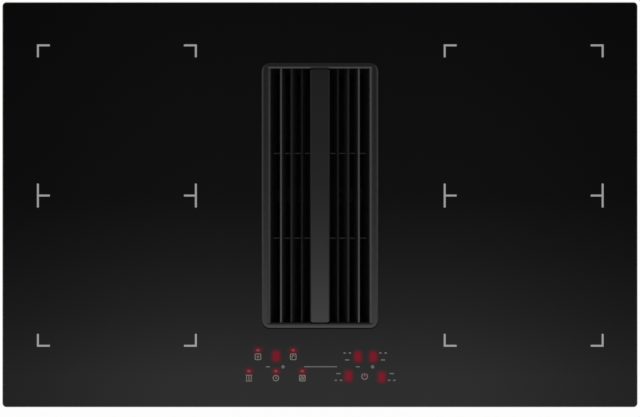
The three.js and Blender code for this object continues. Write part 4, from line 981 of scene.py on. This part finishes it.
class COOKTOP_OT_controls(Builder, bpy.types.Operator):
    """Prints the touch symbols and sets the lit indicators and digits"""

    bl_idname = "cooktop.controls"
    bl_label = "Touch controls"

    def execute(self, context):
        self.ink = context.scene.cooktop_print
        self.low = GLASS_HIGH.z - PRINT_ROOT
        self.high = GLASS_HIGH.z + self.ink.thickness
        self.symbols()
        self.switch()
        self.keys()
        bm = bmesh.new()
        self.mark(bm, *CONTROL_LINE)
        piece("control_line", bm, "line_print", "hob")
        self.halos()
        self.lights()
        self.digits()
        return {"FINISHED"}

    def line(self, bm, x, y, points, width, ring=False):
        """A stroke along points that are given in half symbols from the middle."""
        unit = self.ink.icon / 2
        spots = [(x * MM + unit * px, y * MM + unit * py) for px, py in points]
        stroke(bm, spots, width, self.low, self.high, ring)

    def mark(self, bm, x, y, width, depth):
        """A printed bar, in millimetres."""
        bar(bm, x * MM, y * MM, width * MM, depth * MM, self.low, self.high)

    def symbols(self):
        """Generic signs, each of an outline and the lines in it, or of lines alone."""
        frame_line = rounded_rect(0.88, 0.88, 0.3, steps=3)
        tight_frame = rounded_rect(0.88, 0.88, 0.2, steps=2)
        arch = [(0.35 * math.cos(a), 0.1 + 0.35 * math.sin(a)) for a in (3.14, 2.36, 1.57, 0.79, 0.0)]
        bars = [[(-1, y), (1, y)] for y in (-0.88, 0.88)]
        bars += [[(x, -0.6), (x, 0.6)] for x in (-0.72, 0.0, 0.72)]
        signs = (
            (frame_line, [[(-0.45, 0), (0.45, 0)], [(0, -0.275), (0, -0.5)], [(0, 0.275), (0, 0.5)]]),
            (frame_line, [[(-0.35, -0.45), *arch]]),
            (None, bars),
            (circle(0.86), [[(0, 0.5), (0, 0), (0.4, -0.2)]]),
            (tight_frame, [[(x - 0.18, -0.6), (x + 0.18, 0.6)] for x in (-0.45, 0.0, 0.45)]),
        )
        bm = bmesh.new()
        for (x, y), (ring, lines) in zip(SYMBOLS, signs):
            if ring:
                self.line(bm, x, y, ring, self.ink.icon_stroke, ring=True)
            for points in lines:
                self.line(bm, x, y, points, self.ink.icon_stroke)
        piece("touch_symbols", bm, "symbol_print", "hob")

    def switch(self):
        """The sign of the main switch: a bar in an open ring."""
        start, end, steps = math.radians(120), math.radians(420), 20
        reach, width = 0.88, 1.5 * MM
        angles = [start + (end - start) * i / steps for i in range(steps + 1)]
        arc = [(reach * math.cos(angle), reach * math.sin(angle)) for angle in angles]
        bm = bmesh.new()
        for points in (arc, [(0, 0), (0, 1.05)]):
            self.line(bm, *SWITCH_SIGN, points, width)
        piece("switch_sign", bm, "power_print", "hob")

    def keys(self):
        """The minus and plus signs, and by each digit a key of its zone: two squares and a bar."""
        minus_size, square_size, bar_size = (5.2, 1.3), (3.0, 1.7), (5.4, 1.5)
        plus_arm, plus_half = 2.3 * MM, 0.85 * MM
        apart = 3.3
        bm = bmesh.new()
        for x, y in MINUS_SIGNS:
            self.mark(bm, x, y, *minus_size)
        for x, y in PLUS_SIGNS:
            self.plus(bm, x * MM, y * MM, plus_arm, plus_half)
        for x, pair_y, bar_y in ZONE_KEYS:
            for offset in (-apart, apart):
                self.mark(bm, x + offset, pair_y, *square_size)
            self.mark(bm, x, bar_y, *bar_size)
        piece("zone_keys", bm, "key_print", "hob")

    def plus(self, bm, x, y, arm, half):
        corners = [(half, -arm), (half, -half), (arm, -half)]
        points = []
        for turn in range(4):
            points += spun(corners, turn * math.pi / 2)
        prism(bm, [(x + px, y + py) for px, py in points], self.low, self.high)

    def halos(self):
        """Light that fades round each indicator and digit: rings a hair above each other."""
        for step, (name, led, digit) in enumerate(HALOS):
            bm = bmesh.new()
            top = self.low + (0.03 + 0.01 * step) * MM
            for places, (half_x, half_y) in ((INDICATORS, led), (DIGITS, digit)):
                size = (half_x * MM, half_y * MM, 0.75 * min(half_x, half_y) * MM)
                for x, y in places:
                    plate(bm, *size, self.low, top, x * MM, y * MM, steps=5)
            piece(f"halo_{name}", bm, f"halo_{name}", "hob")

    def lights(self):
        bm = bmesh.new()
        size = (1.9 * MM, 1.4 * MM, 0.7 * MM)
        for x, y in INDICATORS:
            plate(bm, *size, self.low, self.high, x * MM, y * MM, steps=3)
        piece("indicator_cores", bm, "indicator_core", "hob")

    def digits(self):
        window, lit = bmesh.new(), bmesh.new()
        half_x, half_y = self.ink.digit_width / 2, self.ink.digit_height / 2
        size = (half_x + 0.4 * MM, half_y + 0.5 * MM, 1.4 * MM)
        for x, y in DIGITS:
            plate(window, *size, self.low, self.high, x * MM, y * MM, steps=4)
            self.digit(lit, x * MM, y * MM, half_x, half_y)
        piece("digit_windows", window, "digit_window", "hob")
        piece("digit_segments", lit, "digit_light", "hob")

    def digit(self, bm, x, y, half_x, half_y):
        """The seven lit bars of an 8, which leans a little."""
        wide, lean = 1.9 * MM, 0.06
        upright, level = half_y - wide * 0.35, 2 * half_x - wide * 0.7
        for sx in (-1, 1):
            for sy in (-1, 1):
                px, py = sx * (half_x - wide / 2), sy * half_y / 2
                self.segment(bm, x + px + lean * py, y + py, upright, wide, math.pi / 2)
        for sy in (-1, 0, 1):
            py = sy * (half_y - wide / 2)
            self.segment(bm, x + lean * py, y + py, level, wide, 0.0)

    def segment(self, bm, x, y, length, wide, angle):
        long, across = length / 2, wide / 2
        corners = [
            (-long, 0), (-long + across, -across), (long - across, -across),
            (long, 0), (long - across, across), (-long + across, across),
        ]
        prism(bm, spun(corners, angle, x, y), self.high, self.high + 0.02 * MM)


class COOKTOP_OT_grille(Builder, bpy.types.Operator):
    """Makes the grille's frame, spine, rods and seal, and finishes its louvres; frame, spine and
    louvres carry painted light and shade by tilt, and the seal's front edge is a painted shadow line
    """

    bl_idname = "cooktop.grille"
    bl_label = "Grille"

    def execute(self, context):
        grille = context.scene.cooktop_grille
        self.surround(grille)
        self.spine()
        self.seal(grille)
        for side, _ in SIDES:
            # Each row of louvres gets its own copy of the black, with painted light or shade on its top
            # edge
            for name in LOUVRES:
                dress(f"louvre_{side}_{name}", f"louvre_{name}", grille.softening)
        for end in ENDS:
            self.rod(f"cross_rod_{end}")
        return {"FINISHED"}

    def surround(self, grille):
        """The frame: it laps over the glass, slopes into its mouth and reaches down as a skirt."""
        half_x, half_y = GRILLE_HIGH.x, GRILLE_HALF_Y
        high, low, seat = GRILLE_HIGH.z, GRILLE_LOW.z, GLASS_HIGH.z
        bevel, tight = grille.chamfer, grille.inner_corner
        mouth = half_x - grille.side_width
        shoulder = mouth + grille.shoulder
        end = half_y - (grille.end_width + grille.rear_width) / 2
        shift = (grille.end_width - grille.rear_width) / 2
        lean = math.tan(math.radians(19))
        wall, lip = 3 * MM, 3.5 * MM
        lip_low = seat - 5 * MM
        lip_corner, skirt_corner = 7 * MM, 2 * MM
        support, flat = 0.7 * MM, 0.3 * MM
        shoulder_low = high - grille.shoulder_drop

        def skirt(z):
            return mouth - (shoulder_low - z) * lean

        outside = [
            (skirt(low) + wall, half_y - lip, skirt_corner, low),
            (skirt(lip_low) + wall, half_y - lip, lip_corner, lip_low),
            (half_x - lip, half_y - lip, lip_corner, lip_low),
            (half_x - lip, half_y - lip, lip_corner, seat),
        ]
        edge = [(0.0, seat), (0.0, high - bevel), (bevel, high), (bevel + support, high)]
        for inset, z in eased(edge, grille.softening):
            outside.append((half_x - inset, half_y - inset, grille.corner - inset, z))
        inside = [
            (shoulder + flat, end + bevel + flat, tight, high),
            *self.shoulder(grille, mouth, end, high),
            (skirt(low), end, tight, low),
        ]
        rings = [at(rounded_rect(x, y, r, 0, GRILLE_Y), z) for x, y, r, z in outside]
        rings += [at(rounded_rect(x, y, r, 0, GRILLE_Y + shift), z) for x, y, r, z in inside]
        stands_for = ["grille_frame"]
        name = "grille_surround"
        # The frame's finish paints its steep faces lighter: painted light
        piece(name, tube(rings), "frame_aluminium", "grille", stands_for)

    def shoulder(self, grille, mouth, end, high):
        """Rings of the crowned slope into the mouth: it steepens towards its lower edge."""
        steps = 7
        last = math.radians(68)
        rows = []
        for i in range(steps + 1):
            turn = last * i / steps
            x = mouth + grille.shoulder * (1 - math.sin(turn) / math.sin(last))
            drop = grille.shoulder_drop * (1 - math.cos(turn)) / (1 - math.cos(last))
            y = end + max(0.0, grille.chamfer - drop)
            rows.append((x, y, grille.inner_corner, high - drop))
        return rows

    def spine(self):
        """The chamfered bar down the middle, with a tongue at each end that hooks in the frame."""
        low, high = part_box("grille_spine")
        half, top, edge, wall = high.x, high.z, 1.5 * MM, 2.5 * MM
        front, rear = low.y + 1 * MM, high.y - 1.8 * MM
        taper = 0.35 * MM
        root = 1 * MM
        outer = [(half - wall, low.z), (half, low.z), (half, top - edge), (half - edge, top)]
        inner = (half - wall, top - edge - wall / 2)
        section = outer + [(-x, z) for x, z in reversed(outer)]
        section += [(-inner[0], inner[1]), inner]
        rows = []
        for y, shrink in ((front, taper), (front + taper, 0.0), (rear - taper, 0.0), (rear, taper)):
            rows.append([(x * (1 - shrink / half), y, z - shrink) for x, z in section])
        bm = bmesh.new()
        loft(bm, rows)
        x, z0, z1 = half - wall, top - edge - wall, top - edge - wall / 2
        for y0, y1 in ((low.y, front + root), (rear - root, high.y)):
            prism(bm, ((-x, y0), (x, y0), (x, y1), (-x, y1)), z0, z1)
        stands_for = ["grille_spine"]
        made = piece("spine_bar", bm, "spine_aluminium", "grille", stands_for)
        soften(made, 0.3 * MM)

    def seal(self, grille):
        """A black strip under the frame, set forward so that only its front edge shows: a seal, and a
        painted shadow line along the frame's front.
        """
        half_x, half_y, corner = GRILLE_HIGH.x, GRILLE_HALF_Y, grille.corner
        z0, z1 = GLASS_HIGH.z, GLASS_HIGH.z + 0.5 * MM
        # How far the strip reaches forward of the frame: its dull black edge there is the painted
        # shadow line
        shown, width = 0.6 * MM, 2.5 * MM
        outer = (half_x + 0.1 * MM, half_y + shown, corner)
        inner = (half_x - width, half_y - width, corner - width)
        rings = []
        for size, z in ((outer, z0), (outer, z1), (inner, z1), (inner, z0)):
            rings.append(at(rounded_rect(*size, 0, GRILLE_Y - shown), z))
        piece("frame_seal", tube(rings), "seal_black", "grille")

    def rod(self, node):
        """A round rod with eased ends."""
        low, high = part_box(node)
        radius = (high.z - low.z) / 2
        edge = 0.3 * MM
        profile = (
            (radius - edge, low.x), (radius, low.x + edge),
            (radius, high.x - edge), (radius - edge, high.x),
        )
        bm = bmesh.new()
        loft(bm, [at(circle(reach), z) for reach, z in profile])
        bmesh.ops.rotate(bm, verts=bm.verts, matrix=Matrix.Rotation(math.pi / 2, 3, "Y"))
        middle = (low + high) / 2
        bmesh.ops.translate(bm, verts=bm.verts, vec=(0, middle.y, middle.z))
        piece(f"{node}_bar", bm, "blackened_steel", "grille", [node])


class COOKTOP_OT_filter(Builder, bpy.types.Operator):
    """Makes the diamond nets of the lift-out grease filter and finishes its frame"""

    bl_idname = "cooktop.filter"
    bl_label = "Grease filter"

    def execute(self, context):
        for node in ("filter_frame", "filter_handle"):
            dress(node, "filter_black", context.scene.cooktop_casing.softening)
        for side, way in SIDES:
            self.net(side, way, context.scene.cooktop_filter)
        return {"FINISHED"}

    def net(self, side, way, net):
        """A bordered net of crossing strands, laid on the sloping wall of the filter."""
        low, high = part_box(f"filter_mesh_{side}")
        slope = math.atan(net.slope)
        sine, cosine = math.sin(slope), math.cos(slope)
        across = high.y - low.y
        rise = (high.z - low.z - net.sheet * sine) / cosine
        half, edge = net.sheet / 2, net.border / 2
        x, y = across / 2, rise / 2
        border = rounded_rect(x - edge, y - edge, edge, x, y, steps=2)
        bm = bmesh.new()
        stroke(bm, border, net.border, -half, half, ring=True)
        thick, thin = half * 0.9, half * 0.2
        for lean, z0, z1 in ((-1, -thick, thin), (1, -thin, thick)):
            for strand in self.strands(across - edge, rise - edge, edge, lean, net):
                stroke(bm, strand, net.strand, z0, z1)
        foot = min(abs(low.x), abs(high.x)) + half * cosine
        for vertex in bm.verts:
            along, up, out = vertex.co
            x = way * (foot + up * sine + out * cosine)
            vertex.co = (x, low.y + along, low.z + half * sine + up * cosine - out * sine)
        name, node = f"grease_net_{side}", f"filter_mesh_{side}"
        piece(name, bm, "coated_net", "filter", [node])

    def strands(self, across, rise, edge, lean, net):
        """The strands of one direction, cut to the inside of the border."""
        reach = (rise - edge) * net.diamond_width / net.diamond_height
        count = int((across - edge + reach) / net.diamond_width)
        lines = []
        for i in range(1, count + 1):
            near = edge - reach + i * net.diamond_width
            foot, head = (near, near + reach) if lean > 0 else (near + reach, near)
            start, end = self.clipped((foot, edge), (head, rise), edge, across)
            if abs(end[0] - start[0]) > 2 * net.strand:
                lines.append([start, end])
        return lines

    def clipped(self, start, end, low, high):
        points = []
        for (x, y), (ox, oy) in ((start, end), (end, start)):
            bound = min(max(x, low), high)
            points.append((bound, y + (oy - y) * (bound - x) / (ox - x)))
        return points


class COOKTOP_OT_tray(Builder, bpy.types.Operator):
    """Finishes the galvanised tray and its spring clips"""

    bl_idname = "cooktop.tray"
    bl_label = "Tray"

    def execute(self, context):
        dress("base_tray", "galvanised_sheet", context.scene.cooktop_casing.softening)
        for side, _ in SIDES:
            for end in ENDS:
                dress(f"spring_clip_{side}_{end}", "spring_steel", 0.15 * MM)
        return {"FINISHED"}


class COOKTOP_OT_zones(Builder, bpy.types.Operator):
    """Winds the litz coils and finishes what belongs to the cooking zones"""

    bl_idname = "cooktop.zones"
    bl_label = "Induction coils"

    def execute(self, context):
        casing = context.scene.cooktop_casing
        for side, _ in SIDES:
            dress(f"insulation_sheet_{side}", "mica_sheet")
            for end in ENDS:
                tag = f"{side}_{end}"
                dress(f"coil_carrier_{tag}", "coil_carrier", casing.softening)
                dress(f"temperature_sensor_{tag}", "white_plastic")
                self.coil(f"induction_coil_{tag}", f"litz_coil_{tag}", casing)
        return {"FINISHED"}

    def coil(self, node, name, casing):
        """One wire wound outwards from the eye in a rounded spiral."""
        low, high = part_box(node)
        middle, half = (low + high) / 2, (high - low) / 2
        eye_x, eye_y, eye_corner = casing.coil_eye_x, casing.coil_eye_y, casing.coil_eye_corner
        wire = (half.x - eye_x) / casing.turns / 2
        corner_steps, wire_sides = 4, 8
        points = 4 * (corner_steps + 1)
        last = (casing.turns - 1) * points
        path = []
        for i in range(last + 1):
            share = i / last
            size = (
                eye_x + wire + share * (half.x - eye_x - 2 * wire),
                eye_y + wire + share * (half.y - eye_y - 2 * wire),
                eye_corner + share * (casing.coil_corner - eye_corner),
            )
            ring = rounded_rect(*size, middle.x, middle.y, corner_steps)
            path.append(Vector(ring[i % points]))
        rings = []
        for i, point in enumerate(path):
            along = (path[min(i + 1, last)] - path[max(i - 1, 0)]).normalized()
            side = Vector((-along.y, along.x))
            ring = []
            for j in range(wire_sides):
                angle = 2 * math.pi / wire_sides * j
                spot = point + side * (wire * 0.97 * math.cos(angle))
                ring.append((spot.x, spot.y, middle.z + half.z * math.sin(angle)))
            rings.append(ring)
        bm = bmesh.new()
        loft(bm, rings)
        piece(name, bm, "copper_litz", "hob", [node], smooth=math.radians(60))


class COOKTOP_OT_electronics(Builder, bpy.types.Operator):
    """Finishes the power boards, heat sinks, cooling blowers and touch electronics"""

    bl_idname = "cooktop.electronics"
    bl_label = "Electronics"

    def execute(self, context):
        ease = context.scene.cooktop_casing.softening
        for side, _ in SIDES:
            dress(f"power_board_{side}", "board_assembly")
            dress(f"heat_sink_{side}", "raw_aluminium")
            dress(f"cooling_blower_{side}", "black_plastic", ease)
            dress(f"cooling_rotor_{side}", "grey_plastic")
            dress(f"light_guide_{side}", "black_plastic")
        dress("control_carrier", "grey_plastic", ease)
        dress("touch_board", "circuit_board")
        return {"FINISHED"}


class COOKTOP_OT_extractor(Builder, bpy.types.Operator):
    """Finishes the shaft, the radial blower, its casings and the duct spigot"""

    bl_idname = "cooktop.extractor"
    bl_label = "Extractor"

    def execute(self, context):
        ease = context.scene.cooktop_casing.softening
        for node in ("shaft_box", "plenum_cover", "scroll_cover", "scroll_housing", "outlet_spigot"):
            dress(node, "grey_plastic", ease)
        dress("intake_collar", "filter_black", ease)
        dress("impeller", "black_plastic", 0.2 * MM)
        dress("impeller_shaft", "blackened_steel")
        dress("extractor_motor", "galvanised_sheet", ease)
        return {"FINISHED"}


class COOKTOP_OT_tank(Builder, bpy.types.Operator):
    """Finishes the collection tank and gives it finger ribs"""

    bl_idname = "cooktop.tank"
    bl_label = "Collection tank"

    def execute(self, context):
        dress("collection_tank", "black_plastic", context.scene.cooktop_casing.softening)
        low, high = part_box("collection_tank")
        middle = (low.y + high.y) / 2
        proud, wide, pitch = 1.3 * MM, 2.4 * MM, 7 * MM
        corner, edge = 0.8 * MM, 0.4 * MM
        z0, z1 = low.z + 1.5 * MM, low.z + 10 * MM
        bm = bmesh.new()
        for x in (low.x, high.x):
            for i in range(-4, 5):
                plate(bm, proud, wide / 2, corner, z0, z1, x, middle + i * pitch, edge, steps=3)
        piece("tank_grips", bm, "black_plastic", "tank")
        return {"FINISHED"}


class COOKTOP_OT_mains(Builder, bpy.types.Operator):
    """Finishes the mains terminal box, its cover and its gland"""

    bl_idname = "cooktop.mains"
    bl_label = "Mains connection"

    def execute(self, context):
        for node in ("terminal_box", "terminal_cover", "cable_gland"):
            dress(node, "black_plastic", context.scene.cooktop_casing.softening)
        return {"FINISHED"}


class COOKTOP_OT_fasteners(Builder, bpy.types.Operator):
    """Sets the screws and rivets that hold the casings"""

    bl_idname = "cooktop.fasteners"
    bl_label = "Screws and rivets"

    def execute(self, context):
        radius = context.scene.cooktop_casing.screw_head
        up, down = (0, 0, 1), (0, 0, -1)
        self.row("shaft_screws", self.flange(inset=5 * MM, depth=2.5 * MM), down, radius)
        low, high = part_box("terminal_cover")
        self.row("cover_screws", self.corners(low, high, low.z, inset=9 * MM), down, radius * 0.8)
        low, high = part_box("extractor_motor")
        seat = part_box("scroll_housing")[0].z
        self.row("motor_screws", self.corners(low, high, seat, inset=13 * MM), down, radius)
        axle, reach = (low + high) / 2, Vector((52 * MM, 70 * MM, 0))
        tray_floor = TRAY_LOW.z + 1.2 * MM
        self.row("plenum_screws", self.corners(axle - reach, axle + reach, tray_floor), up, radius)
        rivet_x, rivet_y, rivet_z = 379.9 * MM, 150 * MM, -8.5 * MM
        for side, way in SIDES:
            low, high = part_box(f"power_board_{side}")
            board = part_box(f"heat_sink_{side}")[0].z
            spots = self.corners(low, high, board, inset=8 * MM)
            self.row(f"board_screws_{side}", spots, up, radius * 0.75)
            spots = [(way * rivet_x, y, rivet_z) for y in (-rivet_y, rivet_y)]
            self.row(f"clip_rivets_{side}", spots, (way, 0, 0), radius * 0.7)
        return {"FINISHED"}

    def flange(self, inset, depth):
        """Places round the shaft's flange: four along each side and two across each end."""
        low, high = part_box("shaft_box")
        middle, reach, seat = (low.y + high.y) / 2, (high.y - low.y) / 2, high.z - depth
        places = []
        for way in (-1, 1):
            for share in (-0.84, -0.28, 0.28, 0.84):
                places.append((way * (high.x - inset), middle + share * reach, seat))
            for end in (-1, 1):
                places.append((way * high.x / 2, middle + end * (reach - inset), seat))
        return places

    def corners(self, low, high, z, inset=0.0):
        across, deep = (low.x + inset, high.x - inset), (low.y + inset, high.y - inset)
        return [(x, y, z) for x in across for y in deep]

    def row(self, name, places, facing, radius):
        bm = bmesh.new()
        for place in places:
            screw(bm, place, facing, radius)
        piece(name, bm, "zinc_screw", "hob")


OPERATORS = (
    COOKTOP_OT_stage,
    COOKTOP_OT_glass,
    COOKTOP_OT_zone_marks,
    COOKTOP_OT_controls,
    COOKTOP_OT_grille,
    COOKTOP_OT_filter,
    COOKTOP_OT_tray,
    COOKTOP_OT_zones,
    COOKTOP_OT_electronics,
    COOKTOP_OT_extractor,
    COOKTOP_OT_tank,
    COOKTOP_OT_mains,
    COOKTOP_OT_fasteners,
)
GROUPS = {
    "glass": GlassSettings,
    "print": PrintSettings,
    "grille": GrilleSettings,
    "filter": FilterSettings,
    "casing": CasingSettings,
    "stage": StageSettings,
}


class COOKTOP_PT_panel(bpy.types.Panel):
    """Lists what can be built and the sizes and colours that shape it"""

    bl_label = "Cooktop"
    bl_idname = "COOKTOP_PT_panel"
    bl_space_type = "VIEW_3D"
    bl_region_type = "UI"
    bl_category = "Cooktop"

    def draw(self, context):
        for operator in OPERATORS:
            self.layout.operator(operator.bl_idname)
        for name, group in GROUPS.items():
            box = self.layout.box()
            box.label(text=name.capitalize())
            values = getattr(context.scene, f"cooktop_{name}")
            for key in group.__annotations__:
                box.prop(values, key)


def register():
    for group in GROUPS.values():
        bpy.utils.register_class(group)
    for name, group in GROUPS.items():
        setattr(bpy.types.Scene, f"cooktop_{name}", PointerProperty(type=group))
    for operator in OPERATORS:
        bpy.utils.register_class(operator)
    bpy.utils.register_class(COOKTOP_PT_panel)


def unregister():
    bpy.utils.unregister_class(COOKTOP_PT_panel)
    for operator in reversed(OPERATORS):
        bpy.utils.unregister_class(operator)
    for name, group in GROUPS.items():
        delattr(bpy.types.Scene, f"cooktop_{name}")
        bpy.utils.unregister_class(group)


def main():
    register()
    for operator in OPERATORS:
        group, name = operator.bl_idname.split(".")
        getattr(getattr(bpy.ops, group), name)()


if __name__ == "__main__":
    main()
